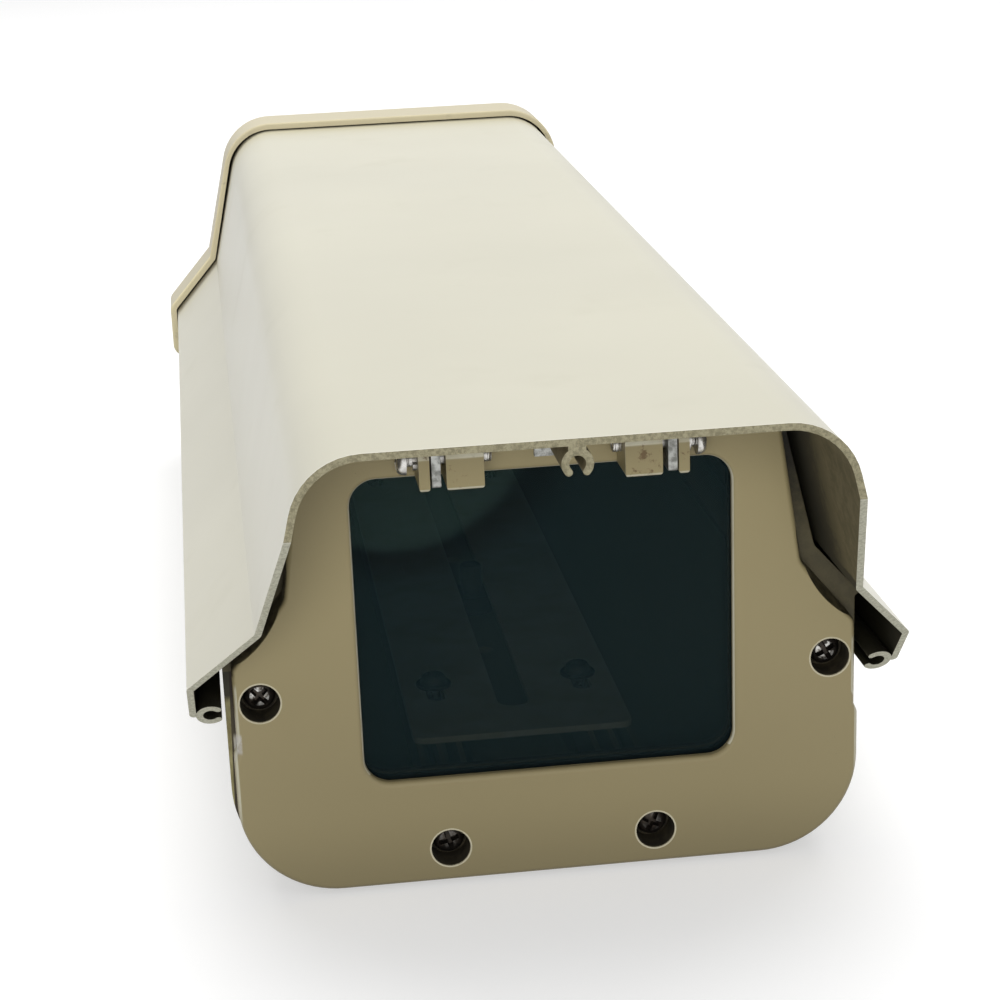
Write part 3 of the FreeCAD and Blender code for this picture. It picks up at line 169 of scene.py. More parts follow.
class Value:
    """A socket that can be used in an expression, which adds its Math nodes to the tree."""

    def __init__(self, tree, socket):
        self.tree = tree
        self.socket = socket

    def math(self, operation, *others):
        return self.tree.node("ShaderNodeMath", {"operation": operation}, dict(enumerate([self, *others])))

    def math_after(self, first, operation):
        return self.tree.node("ShaderNodeMath", {"operation": operation}, {0: first, 1: self})

    def __add__(self, other):
        return self.math("ADD", other)

    def __radd__(self, other):
        return self.math("ADD", other)

    def __mul__(self, other):
        return self.math("MULTIPLY", other)

    def __rmul__(self, other):
        return self.math("MULTIPLY", other)

    def __sub__(self, other):
        return self.math("SUBTRACT", other)

    def __rsub__(self, other):
        return self.math_after(other, "SUBTRACT")

    def __truediv__(self, other):
        return self.math("DIVIDE", other)

    def __rtruediv__(self, other):
        return self.math_after(other, "DIVIDE")

    def __pow__(self, other):
        return self.math("POWER", other)

    def __rpow__(self, other):
        return self.math_after(other, "POWER")

    def __neg__(self):
        return self.math("MULTIPLY", -1.0)

    def __abs__(self):
        return self.math("ABSOLUTE")

    def root(self):
        return self.math("SQRT")

    def above(self, other):
        return self.math("GREATER_THAN", other)

    def below(self, other):
        return self.math("LESS_THAN", other)

    def rise(self, low, high):
        """0 at low, 1 at high, smooth in between."""
        return self.tree.node("ShaderNodeMapRange", {"interpolation_type": "SMOOTHSTEP"}, {
            "Value": self, "From Min": low, "From Max": high, "To Min": 0.0, "To Max": 1.0})

    def fall(self, low, high):
        """1 at low, 0 at high, smooth in between."""
        return 1.0 - self.rise(low, high)

    def band(self, low, full, fading, high):
        """0 outside low and high, 1 from full to fading."""
        return self.rise(low, full) * self.fall(fading, high)


class Tree:
    """Adds nodes to a node tree, each with its settings first and then its sockets."""

    def __init__(self, node_tree):
        self.node_tree = node_tree

    def node(self, kind, settings=None, sockets=None, output=0):
        made = self.node_tree.nodes.new(kind)
        for name, value in (settings or {}).items():
            setattr(made, name, value)
        for name, value in (sockets or {}).items():
            self.feed(made.inputs[name], value)
        return Value(self, made.outputs[output]) if len(made.outputs) else made

    def split(self, vector):
        """The three parts of a vector."""
        parts = self.node("ShaderNodeSeparateXYZ", {}, {0: vector}).socket.node.outputs
        return [Value(self, socket) for socket in parts]

    def join(self, x, y, z):
        return self.node("ShaderNodeCombineXYZ", {}, {0: x, 1: y, 2: z})

    def feed(self, socket, value):
        """Links or sets a socket; a list goes into a socket that takes several links."""
        if isinstance(value, list):
            for part in value:
                self.feed(socket, part)
        elif isinstance(value, Value):
            self.node_tree.links.new(value.socket, socket)
        elif socket.type == "RGBA":
            socket.default_value = (*value[:3], 1.0)
        else:
            socket.default_value = value


MIX_FACTOR, MIX_LOW, MIX_HIGH, MIX_RESULT = 0, 6, 7, 2


class Finish(Tree):
    """A material on Object coordinates with one Principled surface."""

    def __init__(self, name):
        self.material = bpy.data.materials.new(name)
        self.material.use_nodes = True
        super().__init__(self.material.node_tree)
        self.surface = self.node_tree.nodes["Principled BSDF"]
        self.place = self.node("ShaderNodeTexCoord", output="Object")

    def stretched(self, scale):
        """Object coordinates with a scale for each axis."""
        return self.node("ShaderNodeMapping", {}, {"Vector": self.place, "Scale": scale})

    def noise(self, scale, detail=2.0, roughness=0.5, vector=None):
        return self.node("ShaderNodeTexNoise", {}, {
            "Vector": vector or self.place, "Scale": scale, "Detail": detail, "Roughness": roughness})

    def cells(self, scale):
        """Distance to the nearest of scattered points, in cells."""
        return self.node("ShaderNodeTexVoronoi", {}, {"Vector": self.place, "Scale": scale})

    def mix(self, factor, low, high):
        """Colour between low and high."""
        return self.node("ShaderNodeMix", {"data_type": "RGBA"}, {
            MIX_FACTOR: factor, MIX_LOW: low, MIX_HIGH: high}, output=MIX_RESULT)

    def attribute(self, name):
        return self.node("ShaderNodeAttribute", {"attribute_name": name}, output="Fac")

    def bump(self, height, depth):
        return self.node("ShaderNodeBump", {}, {"Height": height, "Distance": depth, "Strength": 1.0})

    def set(self, **sockets):
        for name, value in sockets.items():
            self.feed(self.surface.inputs[name.replace("_", " ")], value)
        return self.material


def shade(colour, factor):
    return tuple(min(1.0, c * factor) for c in colour)


# Meshes of the frame, which the marks on the paint follow too

MERGE_DISTANCE = 0.002 * MM
SEAM_DISTANCE = 0.001 * MM
CUT_DISTANCE = 0.0001 * MM
FLAT_ANGLE = math.radians(0.4)


def merged_copy(node):
    """The node's mesh with its triangles joined and its flat faces whole again."""
    mesh = bmesh.new()
    mesh.from_mesh(NODES[node].data)
    bmesh.ops.remove_doubles(mesh, verts=mesh.verts, dist=MERGE_DISTANCE)
    bmesh.ops.dissolve_limit(
        mesh, angle_limit=FLAT_ANGLE, use_dissolve_boundaries=False, verts=mesh.verts, edges=mesh.edges,
        delimit={"NORMAL"})
    return mesh


def solid_boxes(node):
    """Low and high corners of a node's separate solids, lowest first, then by x and y."""
    mesh = merged_copy(node)
    left = set(mesh.verts)
    boxes = []
    while left:
        front = [left.pop()]
        cluster = list(front)
        while front:
            vert = front.pop()
            for edge in vert.link_edges:
                other = edge.other_vert(vert)
                if other in left:
                    left.remove(other)
                    front.append(other)
                    cluster.append(other)
        low = Vector([min(v.co[i] for v in cluster) for i in range(3)])
        high = Vector([max(v.co[i] for v in cluster) for i in range(3)])
        boxes.append((low, high))
    mesh.free()
    return sorted(boxes, key=lambda pair: (round(pair[0].z, 4), round(pair[0].x, 4), pair[0].y))


# Places taken from the frame, apart from the plate's flat face, which stands behind its lugs

PLATE_FACE = -170.0 * MM
LUG_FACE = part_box("front_plate")[0].y
CAP_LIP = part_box("lid_end_cap")[0].y
HOOD_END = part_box("lid_shell")[0].y
FLOOR_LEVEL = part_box("base_tray")[0].z


# Tones of wear and dirt, and of painted light and shade; a pair runs from dark to light

CAP_RIM_REFLECTION = (0.50, 0.45, 0.27)
CAP_GAP_SHADE = (0.035, 0.028, 0.015)
CUT_END_TONES = ((0.20, 0.18, 0.11), (0.36, 0.33, 0.215))
RAKED_CUT_TONES = ((0.46, 0.45, 0.345), (0.66, 0.65, 0.53))
INSIDE_SHADE_TONES = ((0.135, 0.115, 0.062), (0.215, 0.182, 0.105))
POCKET_SHADE = (0.008, 0.008, 0.005)
HOOD_EDGE_HIGHLIGHT = (0.80, 0.78, 0.68)
CAP_RIM_HIGHLIGHT = (0.82, 0.73, 0.47)
EDGE_HIGHLIGHT = (0.72, 0.69, 0.54)
RECESS_RIM_HIGHLIGHT = (0.62, 0.58, 0.43)
RECESS_SHADE = (0.012, 0.010, 0.007)
SCOOP_SHADE = (0.016, 0.013, 0.008)
SIDE_EDGE_HIGHLIGHT = (0.60, 0.58, 0.45)
BRUISE = (0.52, 0.50, 0.48)
RUST = (0.13, 0.075, 0.035)
TRAY_INSIDE_SHADE = (0.05, 0.05, 0.035)
TRAY_STREAKS = ((0.20, 0.17, 0.075), (0.50, 0.45, 0.25))
TRAY_LID_SHADOW = (0.03, 0.025, 0.015)
SHEET_LIT_STREAKS = ((0.15, 0.125, 0.05), (0.36, 0.33, 0.17))
SHEET_LID_SHADOW = (0.014, 0.012, 0.010)
SEAM_SHADE = (0.018, 0.010, 0.006)


# Finishes


def paint_finish(name, colour, roughness, marks, grain, grain_scale, pitting=0.6):
    """Baked enamel: faint orange peel, cloudy tone and small dark pits, with the marks of its piece."""
    f = Finish(name)
    cloud = f.noise(9.0, 3.0).rise(0.3, 0.7)
    tone = f.mix(cloud, shade(colour, 0.97), shade(colour, 1.03))
    grime = f.noise(38.0, 3.0, 0.6).rise(0.55, 0.85) * 0.08
    tone = f.mix(grime, tone, shade(colour, 0.62))
    pits = f.cells(420.0).below(0.040) * f.noise(60.0).above(0.62)
    tone = f.mix(pits * pitting, tone, shade(colour, 0.3))
    tone, wear = marks(f, tone, colour)
    peel = f.noise(grain_scale, 1.5)
    sheen = roughness + f.noise(30.0, 3.0) * 0.04 + grime * 0.6 + wear
    return f.set(Base_Color=tone, Roughness=sheen, IOR=1.5, Normal=f.bump(peel, grain))


def lid_marks(f, tone, colour):
    """Mottled cut ends, painted shade inside that blackens towards the window and in the lips, a painted
    reflection and painted shade beside the cap, and a painted highlight on the hood's front edge.
    """
    x, y, z = f.split(f.place)
    cut, raked, inside = f.attribute("cut"), f.attribute("raked"), f.attribute("inside")
    # painted reflection of the cap's rim: the lid turns yellow over the last stretch before the cap
    tone = f.mix(y.rise(176.0 * MM, 197.0 * MM) * 0.30, tone, CAP_RIM_REFLECTION)
    # painted shade in the gap before the cap, wider and darker on the left flank
    left = (-x).rise(44.0 * MM, 62.0 * MM)
    line_start = CAP_LIP - (4.0 * MM + left * (9.0 * MM))
    line_full = CAP_LIP - (1.0 * MM + left * (2.5 * MM))
    tone = f.mix(y.rise(line_start, line_full) * (0.55 + left * 0.4), tone, CAP_GAP_SHADE)
    # mottled cut faces, the raked ones in lighter tones than the upright ends
    speckle = f.noise(1500.0, 3.0, 0.7).rise(0.34, 0.66)
    tone = f.mix(cut, tone, f.mix(raked, f.mix(speckle, *CUT_END_TONES), f.mix(speckle, *RAKED_CUT_TONES)))
    # painted shade on the lid's inner faces, in mottled tones
    blotches = f.noise(260.0, 5.0, 0.7)
    tone = f.mix(inside, tone, f.mix(blotches.rise(0.35, 0.65), *INSIDE_SHADE_TONES))
    # painted shade that blackens the inside towards the window and in the lip pockets
    deep = (y + (blotches - 0.5) * (26.0 * MM)).rise(-195.0 * MM, -178.0 * MM)
    pocket = (z + (blotches - 0.5) * (1.5 * MM)).fall(74.5 * MM, 75.5 * MM)
    tone = f.mix(inside * deep.math("MAXIMUM", pocket) * 0.93, tone, POCKET_SHADE)
    sawn_end = y - HOOD_END
    # painted highlight just behind the hood's front top edge
    hood_edge_highlight = sawn_end.above(0.04 * MM) * sawn_end.below(0.32 * MM) * (1.0 - inside)
    tone = f.mix(hood_edge_highlight * 0.7, tone, HOOD_EDGE_HIGHLIGHT)
    return tone, cut * 0.3 + inside * 0.3


def lid_paint():
    paint = paint_settings()
    return paint_finish(
        "Lid enamel", paint.lid, paint.lid_roughness, lid_marks, 0.004 * MM, 330.0, pitting=0.0)


def cap_marks(f, tone, colour):
    """A painted highlight on the rim that faces forwards, weaker over the roof and broken in small patches.
    """
    _, y, z = f.split(f.place)
    roof = z.rise(95.0 * MM, 125.0 * MM)
    # painted highlight on the forward rim, weaker over the roof
    rim = y.fall(CAP_LIP + 0.3 * MM, CAP_LIP + 0.8 * MM) * (1.0 - roof * 0.75)
    highlight_breaks = f.noise(160.0, 4.0, 0.7).rise(0.60, 0.72)
    return f.mix(rim * (0.85 - highlight_breaks * 0.5), tone, CAP_RIM_HIGHLIGHT), 0.0


def cap_paint():
    paint = paint_settings()
    return paint_finish("Cap enamel", paint.cap, paint.casting_roughness, cap_marks, 0.02 * MM, 900.0)


def screw_distance(across, z):
    """Distance from the middle of the nearest of the front plate's screws, which stand in mirrored pairs."""
    rings = []
    for low, high in solid_boxes("front_plate_screws"):
        middle = (low + high) / 2
        if middle.x > 0:
            off_x, off_z = across - round(middle.x, 5), z - round(middle.z, 5)
            rings.append((off_x * off_x + off_z * off_z).root())
    return rings[0].math("MINIMUM", rings[1])


def plate_marks(f, tone, colour):
    """Painted shade that deepens downwards and in the screw recesses and scoops, painted highlights on edges
    and rims, a bruised corner and rusty lugs.
    """
    x, y, z = f.split(f.place)
    across, behind, nose = abs(x), y - PLATE_FACE, y - LUG_FACE
    mottle = f.noise(420.0, 4.0, 0.7).rise(0.35, 0.62)
    wear_and_highlight = f.noise(90.0, 4.0, 0.6).rise(0.25, 0.55)
    # painted shade: the plate darkens below its top, and more below 22 mm
    tone = f.mix(z.fall(20.0 * MM, 92.0 * MM) * 0.35, tone, shade(colour, 0.4))
    tone = f.mix(z.fall(-6.0 * MM, 22.0 * MM) * 0.5, tone, shade(colour, 0.33))

    # painted highlights along the window's rounded edge and the lugs' edges, of uneven strength
    window_edge = behind.band(0.30 * MM, 0.50 * MM, 1.2 * MM, 1.5 * MM)
    window_edge = across.below(44.0 * MM) * z.above(28.5 * MM) * window_edge
    lug_edge = nose.band(0.01 * MM, 0.06 * MM, 0.28 * MM, 0.42 * MM)
    tone = f.mix((window_edge + lug_edge) * (0.45 + wear_and_highlight * 0.45), tone, EDGE_HIGHLIGHT)

    ring = screw_distance(across, z)
    near = ring.below(4.80 * MM)
    # painted highlight on the rounded rim of each screw recess
    rim = near * ring.above(4.30 * MM) * behind.fall(0.25 * MM, 0.45 * MM)
    tone = f.mix(rim * (0.35 + wear_and_highlight * 0.4), tone, RECESS_RIM_HIGHLIGHT)
    # painted shade deep in the screw recesses
    sunk = near * behind.rise(0.3 * MM, 0.7 * MM)
    tone = f.mix(sunk * (0.88 + mottle * 0.10), tone, RECESS_SHADE)
    # painted shade in the scoops at the shoulders, behind the plate's face
    scoop = across.above(56.0 * MM) * z.rise(53.8 * MM, 55.0 * MM) * behind.rise(0.05 * MM, 0.7 * MM)
    tone = f.mix(scoop * (0.72 + mottle * 0.25), tone, SCOOP_SHADE)

    # painted highlight along the rounding of the plate's sides
    side = across - z.fall(37.0 * MM, 39.5 * MM) * (0.85 * MM)
    side_highlight = side.band(68.65 * MM, 68.85 * MM, 69.2 * MM, 69.4 * MM)
    side_highlight = side_highlight * z.rise(16.0 * MM, 24.0 * MM) * z.fall(51.0 * MM, 53.0 * MM)
    tone = f.mix(side_highlight * (0.35 + wear_and_highlight * 0.4), tone, SIDE_EDGE_HIGHLIGHT)
    bruise = abs(z - 38.5 * MM).fall(1.4 * MM, 2.8 * MM) * (
        (-x).band(68.2 * MM, 68.6 * MM, 69.9 * MM, 70.3 * MM))
    tone = f.mix(bruise * (0.4 + mottle * 0.4), tone, BRUISE)
    lugs = (-behind).rise(0.6 * MM, 1.6 * MM)
    scuff = f.noise(300.0, 4.0, 0.65).rise(0.57, 0.67) * lugs
    return f.mix(scuff * 0.8, tone, RUST), sunk * 0.2 + scuff * 0.15


def casting_paint():
    paint = paint_settings()
    return paint_finish(
        "Casting enamel", paint.casting, paint.casting_roughness, plate_marks, 0.02 * MM, 1100.0)


def streaks(f):
    """Dirt that has run downwards, from 0 to 1."""
    return f.noise(500.0, 4.0, 0.7, f.stretched((1.0, 1.0, 0.2))).rise(0.30, 0.66)


def tray_marks(f, tone, colour):
    """The tray's front end is streaked and yellowed low down, with painted shadow under the lid, and its
    inside is darkened by painted shade.
    """
    x, y, z = f.split(f.place)
    # painted shade inside the tray
    within = abs(x).below(70.3 * MM) * z.above(1.0 * MM)
    tone = f.mix(within * 0.6, tone, TRAY_INSIDE_SHADE)
    front = y.fall(-159.5 * MM, -154.0 * MM)
    streak = streaks(f)
    tone = f.mix(front, tone, f.mix(streak, *TRAY_STREAKS))
    # painted shadow of the lid on the top of the front end
    tone = f.mix(front * z.rise(46.0 * MM, 52.0 * MM) * (0.75 + streak * 0.2), tone, TRAY_LID_SHADOW)
    return tone, front * 0.1


def tray_paint():
    paint = paint_settings()
    return paint_finish("Tray enamel", paint.tray, paint.casting_roughness, tray_marks, 0.02 * MM, 800.0)


def bulkhead_marks(f, tone, colour):
    """Dust on the sheet, painted shade that blackens it under the hood's roof, and lighter streaked lower
    ends, with painted shadow on their tops and painted shade in the seam beside the plate.
    """
    x, _, z = f.split(f.place)
    blotches = f.noise(330.0, 5.0, 0.7)
    # painted shade under the hood's roof, with a blotchy edge
    high = (z + (blotches - 0.5) * (18.0 * MM)).rise(76.0 * MM, 96.0 * MM)
    tone = f.mix(blotches.rise(0.35, 0.65) * 0.5, tone, shade(colour, 0.55))
    tone = f.mix(high * 0.88, tone, shade(colour, 0.06))
    across = abs(x)
    ends = across.above(66.0 * MM) * z.below(53.0 * MM)
    streak = streaks(f)
    # painted light on the lower ends beside the plate, streaked with dirt
    tone = f.mix(ends, tone, f.mix(streak, *SHEET_LIT_STREAKS))
    # painted shadow of the lid on the tops of the lower ends
    tone = f.mix(ends * z.rise(45.5 * MM, 47.5 * MM) * 0.92, tone, SHEET_LID_SHADOW)
    low = z.fall(36.5 * MM, 38.5 * MM)
    plate_side = across.below(70.2 * MM)
    # painted shade in the seam beside the plate's edge
    seam = across.below(70.45 * MM + (41.5 * MM - z) * 0.03) * (1.0 - low * plate_side)
    tone = f.mix(ends * seam * (0.80 + streak * 0.15), tone, SEAM_SHADE)
    bruise = low * plate_side * z.rise(31.5 * MM, 33.5 * MM)
    return f.mix(ends * bruise * (0.4 + streak * 0.4), tone, BRUISE), 0.0


def bulkhead_paint():
    return paint_finish(
        "Bulkhead enamel", paint_settings().bulkhead, 0.5, bulkhead_marks, 0.03 * MM, 1000.0)


REFLECTION_CENTRE = (-33.0 * MM, 98.0 * MM)
REFLECTION_REACH = (29.0 * MM, 19.0 * MM)


def window_glass():
    """Dark blue-green pane with a painted reflection, a faint lighter patch with a curved edge in one
    corner, and wipe marks and specks.
    """
    f = Finish("Window glass")
    x, _, z = f.split(f.place)
    # painted reflection: lighter inside the curved patch, with a darker band along its edge
    ripple = (f.noise(26.0, 2.0) - 0.5) * 0.35
    off_x, off_z = (x - REFLECTION_CENTRE[0]) / REFLECTION_REACH[0], (z - REFLECTION_CENTRE[1]) / REFLECTION_REACH[1]
    reach = (off_x * off_x + off_z * off_z).root() + ripple
    outside = reach.rise(0.90, 1.02)
    tone = f.mix(1.0 - outside, (0.005, 0.012, 0.014), (0.014, 0.028, 0.025))
    tone = f.mix(outside * reach.fall(1.06, 1.5) * 0.9, tone, (0.001, 0.002, 0.003))
    specks = f.cells(70.0).below(0.022) * f.noise(33.0).above(0.60)
    tone = f.mix(specks, tone, (0.42, 0.44, 0.42))
    wipe = f.noise(7.0, 4.0, 0.6, f.stretched((3.0, 1.0, 0.6))).rise(0.45, 0.75)
    return f.set(Base_Color=tone, Roughness=0.03 + wipe * 0.05, IOR=1.5, Specular_IOR_Level=0.125,
                 Specular_Tint=(0.60, 0.95, 1.0), Alpha=0.45)


def rubber():
    f = Finish("Black rubber")
    fine = f.noise(900.0, 3.0)
    tone = f.mix(f.noise(55.0, 3.0), (0.012, 0.012, 0.011), (0.035, 0.034, 0.030))
    return f.set(Base_Color=tone, Roughness=0.62 + fine * 0.15, Normal=f.bump(fine, 0.03 * MM))


def bare_aluminium():
    """Sheet with drawn lines along its length, dulled to a mottled grey."""
    f = Finish("Bare aluminium")
    lines = f.noise(260.0, 3.0, 0.6, f.stretched((0.05, 1.0, 1.0)))
    marks = f.noise(650.0, 4.0, 0.65).rise(0.36, 0.66)
    tone = f.mix(lines, (0.36, 0.36, 0.34), (0.50, 0.51, 0.48))
    tone = f.mix(marks * 0.8, tone, (0.17, 0.17, 0.155))
    return f.set(
        Base_Color=tone, Metallic=0.85, Roughness=0.38 + marks * 0.2, Normal=f.bump(lines, 0.02 * MM))


def plated_screw():
    """Zinc plating, darkened on stained heads apart from what the driver has worn bright."""
    f = Finish("Plated screw")
    cloud = f.noise(700.0, 3.0, 0.6)
    stained, wear_and_highlight = f.attribute("stained"), f.attribute("wear_and_highlight")
    # fewer worn bright spots on the screws below 25 mm
    higher_up = 0.15 + f.split(f.place)[2].above(25.0 * MM) * 0.85
    worn = wear_and_highlight * f.noise(620.0, 2.0).rise(0.44, 0.56) * higher_up
    tone = f.mix(cloud.rise(0.4, 0.7), (0.66, 0.65, 0.62), (0.36, 0.34, 0.30))
    dark = f.mix(cloud.rise(0.35, 0.65), (0.018, 0.014, 0.011), (0.060, 0.047, 0.036))
    tone = f.mix(stained * (1.0 - worn) * 0.97, tone, dark)
    return f.set(Base_Color=tone, Metallic=0.9, Roughness=0.20 + cloud * 0.2 + stained * 0.12)


def zinc_plate():
    """Passivated zinc: cloudy yellow-green film over grey."""
    f = Finish("Passivated zinc")
    cloud = f.noise(42.0, 4.0, 0.6)
    film = f.mix(cloud.rise(0.3, 0.7), (0.50, 0.47, 0.27), (0.58, 0.60, 0.44))
    grain = f.cells(240.0)
    tone = f.mix(grain * 0.3, film, (0.68, 0.68, 0.62))
    return f.set(
        Base_Color=tone, Metallic=0.25, Roughness=0.34 + cloud * 0.15, Normal=f.bump(grain, 0.01 * MM))


def lock_chrome():
    f = Finish("Lock chrome")
    haze = f.noise(300.0, 3.0)
    tone = f.mix(haze, (0.78, 0.78, 0.78), (0.62, 0.62, 0.61))
    return f.set(Base_Color=tone, Metallic=1.0, Roughness=0.10 + haze * 0.12)


def gland_plastic():
    """Moulded nylon with a fine matt skin."""
    f = Finish("Gland nylon")
    skin = f.noise(1400.0, 2.0)
    tone = f.mix(f.noise(80.0, 3.0), (0.020, 0.020, 0.022), (0.042, 0.042, 0.044))
    return f.set(Base_Color=tone, Roughness=0.48 + skin * 0.14, Normal=f.bump(skin, 0.02 * MM))


def brass():
    f = Finish("Brass")
    stain = f.noise(500.0, 3.0)
    tone = f.mix(stain.rise(0.4, 0.7), (0.78, 0.60, 0.28), (0.52, 0.38, 0.17))
    return f.set(Base_Color=tone, Metallic=1.0, Roughness=0.2 + stain * 0.2)


FINISH_MAKERS = {
    "lid_paint": lid_paint,
    "cap_paint": cap_paint,
    "front_paint": casting_paint,
    "body_paint": tray_paint,
    "inner_paint": bulkhead_paint,
    "window_glass": window_glass,
    "rubber": rubber,
    "bare_aluminium": bare_aluminium,
    "plated_screw": plated_screw,
    "zinc_plate": zinc_plate,
    "lock_chrome": lock_chrome,
    "gland_plastic": gland_plastic,
    "brass": brass,
}


@functools.cache
def finish(slot):
    """The finish of a material slot, made the first time it is asked for."""
    return FINISH_MAKERS[slot]()


# Pieces

SHARP_ANGLE = math.radians(32.0)
SCREW_SHARP_ANGLE = math.radians(40.0)


def body_of_node(node):
    return NODES[node]["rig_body"]


def add_object(name, data):
    made = bpy.data.objects.new(name, data)
    bpy.context.scene.collection.objects.link(made)
    return made


def plain_mesh(made):
    """Turns what the modifiers make into the object's own mesh, and removes them."""
    depsgraph = bpy.context.evaluated_depsgraph_get()
    result = bpy.data.meshes.new_from_object(
        made.evaluated_get(depsgraph), preserve_all_data_layers=True, depsgraph=depsgraph)
    made.modifiers.clear()
    made.data = result
    result.name = made.name
    return made


def shade_smooth(made):
    for polygon in made.data.polygons:
        polygon.use_smooth = True


def soften(made, radius, segments=2):
    """Rounds sharp edges with real faces, and shades the rest smooth."""
    shade_smooth(made)
    bevel = made.modifiers.new("Edge rounding", "BEVEL")
    bevel.width = radius
    bevel.segments = segments
    bevel.limit_method = "ANGLE"
    bevel.angle_limit = SHARP_ANGLE
    bevel.use_clamp_overlap = True
    bevel.miter_outer = "MITER_ARC"
    weights = made.modifiers.new("Face weights", "WEIGHTED_NORMAL")
    weights.mode = "FACE_AREA_WITH_ANGLE"
    weights.keep_sharp = True
    return plain_mesh(made)


def keep_edges_sharp(made):
    """Smooth faces, with the edges of small turned parts kept sharp."""
    shade_smooth(made)
    made.data.set_sharp_from_angle(angle=SCREW_SHARP_ANGLE)
    return made


def dress(made, node):
    """Gives a finished piece its node's finish and body."""
    slot = SLOTS[node]
    made.data.materials.clear()
    made.data.materials.append(finish(slot))
    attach(made, body_of_node(node))
    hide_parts(node)
    return made


def rounded_node(node, name, radius, segments=2):
    """A copy of a CAD node with its edges rounded, standing for it."""
    mesh = merged_copy(node)
    data = bpy.data.meshes.new(name)
    mesh.to_mesh(data)
    mesh.free()
    return dress(soften(add_object(name, data), radius, segments), node)


# Geometry node groups


class Group(Tree):
    """A geometry node group with numbers as its named inputs, ending in real geometry of one material."""

    def __init__(self, name, numbers):
        super().__init__(bpy.data.node_groups.new(name, "GeometryNodeTree"))
        sockets = self.node_tree.interface
        sockets.new_socket("Geometry", in_out="INPUT", socket_type="NodeSocketGeometry")
        for label in numbers:
            sockets.new_socket(label, in_out="INPUT", socket_type="NodeSocketFloat")
        sockets.new_socket("Material", in_out="INPUT", socket_type="NodeSocketMaterial")
        sockets.new_socket("Geometry", in_out="OUTPUT", socket_type="NodeSocketGeometry")
        self.entry = self.node("NodeGroupInput").socket.node

    def given(self, label):
        """The value of a named input."""
        return Value(self, self.entry.outputs[label])

    def moved(self, geometry, x, y, z):
        return self.node("GeometryNodeTransform", {}, {0: geometry, "Translation": self.join(x, y, z)})

    def mark_faces(self, geometry, name, value):
        return self.node("GeometryNodeStoreNamedAttribute", {"data_type": "FLOAT", "domain": "FACE"}, {
            0: geometry, "Name": name, "Value": value})

    def on_points(self, part):
        """One copy of the part on each point, turned by the point's own attribute."""
        turn = self.node("GeometryNodeInputNamedAttribute", {"data_type": "FLOAT_VECTOR"}, {"Name": "turn"})
        return self.node("GeometryNodeInstanceOnPoints", {}, {
            "Points": self.given("Geometry"), "Instance": part, "Rotation": turn})

    def close(self, geometry):
        """Realizes instances, sets the material and ends the group."""
        real = self.node("GeometryNodeRealizeInstances", {}, {0: geometry})
        finished = self.node("GeometryNodeSetMaterial", {}, {0: real, "Material": self.given("Material")})
        self.node("NodeGroupOutput", {}, {0: finished})
        return self.node_tree


def run_group(made, group, values):
    """Runs a node group on an object with named values, and keeps the result as plain mesh."""
    modifier = made.modifiers.new(group.name, "NODES")
    modifier.node_group = group
    keys = {item.name: item.identifier for item in group.interface.items_tree if item.in_out == "INPUT"}
    for label, value in values.items():
        modifier[keys[label]] = value
    return plain_mesh(made)


@functools.cache
def extrusion_group():
    """Extrudes a section backwards and rakes its front below a height."""
    tree = Group("Raked extrusion", ("Length", "Rake Height", "Rake Slope"))
    section = tree.given("Geometry")
    drawn = tree.node("GeometryNodeExtrudeMesh", {"mode": "FACES"}, {
        "Mesh": section, "Offset": tree.join(0.0, tree.given("Length"), 0.0), "Offset Scale": 1.0,
        "Individual": False})
    near_end = tree.node("GeometryNodeFlipFaces", {}, {0: section})
    joined = tree.node("GeometryNodeJoinGeometry", {}, {0: [drawn, near_end]})
    whole = tree.node("GeometryNodeMergeByDistance", {}, {0: joined, "Distance": SEAM_DISTANCE})
    place = tree.node("GeometryNodeInputPosition")
    _, y, z = tree.split(place)
    front = tree.node("GeometryNodeSampleIndex", {"data_type": "FLOAT_VECTOR"}, {
        "Geometry": section, "Value": place, "Index": 0})
    at_front = abs(y - tree.split(front)[1]).below(0.01 * MM)
    drop = (tree.given("Rake Height") - z).math("MAXIMUM", 0.0)
    raked = tree.node("GeometryNodeSetPosition", {}, {
        0: whole, "Selection": at_front, "Offset": tree.join(0.0, drop * tree.given("Rake Slope"), 0.0)})
    return tree.close(raked)


@functools.cache
def zone_group():
    """Marks the sawn and raked ends of a shell, and the faces whose view sideways meets the shell."""
    tree = Group("Paint zones", ("Rake Slope",))
    facing, off_face, sight = -0.985, 0.1 * MM, 300.0 * MM
    normal, place = tree.node("GeometryNodeInputNormal"), tree.node("GeometryNodeInputPosition")
    _, face_y, face_z = tree.split(normal)
    slope = tree.given("Rake Slope")
    raked = ((face_y + face_z * slope) / (slope * slope + 1.0).root()).below(facing)
    cut = face_y.below(facing).math("MAXIMUM", raked)
    lift = tree.node("ShaderNodeVectorMath", {"operation": "SCALE"}, {0: normal, "Scale": off_face})
    start = tree.node("ShaderNodeVectorMath", {"operation": "ADD"}, {0: place, 1: lift})
    marked = tree.given("Geometry")
    met = tree.node("GeometryNodeRaycast", {}, {
        "Target Geometry": marked, "Source Position": start, "Ray Length": sight,
        "Ray Direction": tree.join(tree.split(place)[0].math("SIGN"), 0.0, 0.0)}, output="Is Hit")
    for name, value in (("cut", cut), ("raked", raked), ("inside", met * (1.0 - cut))):
        marked = tree.mark_faces(marked, name, value)
    return tree.close(marked)


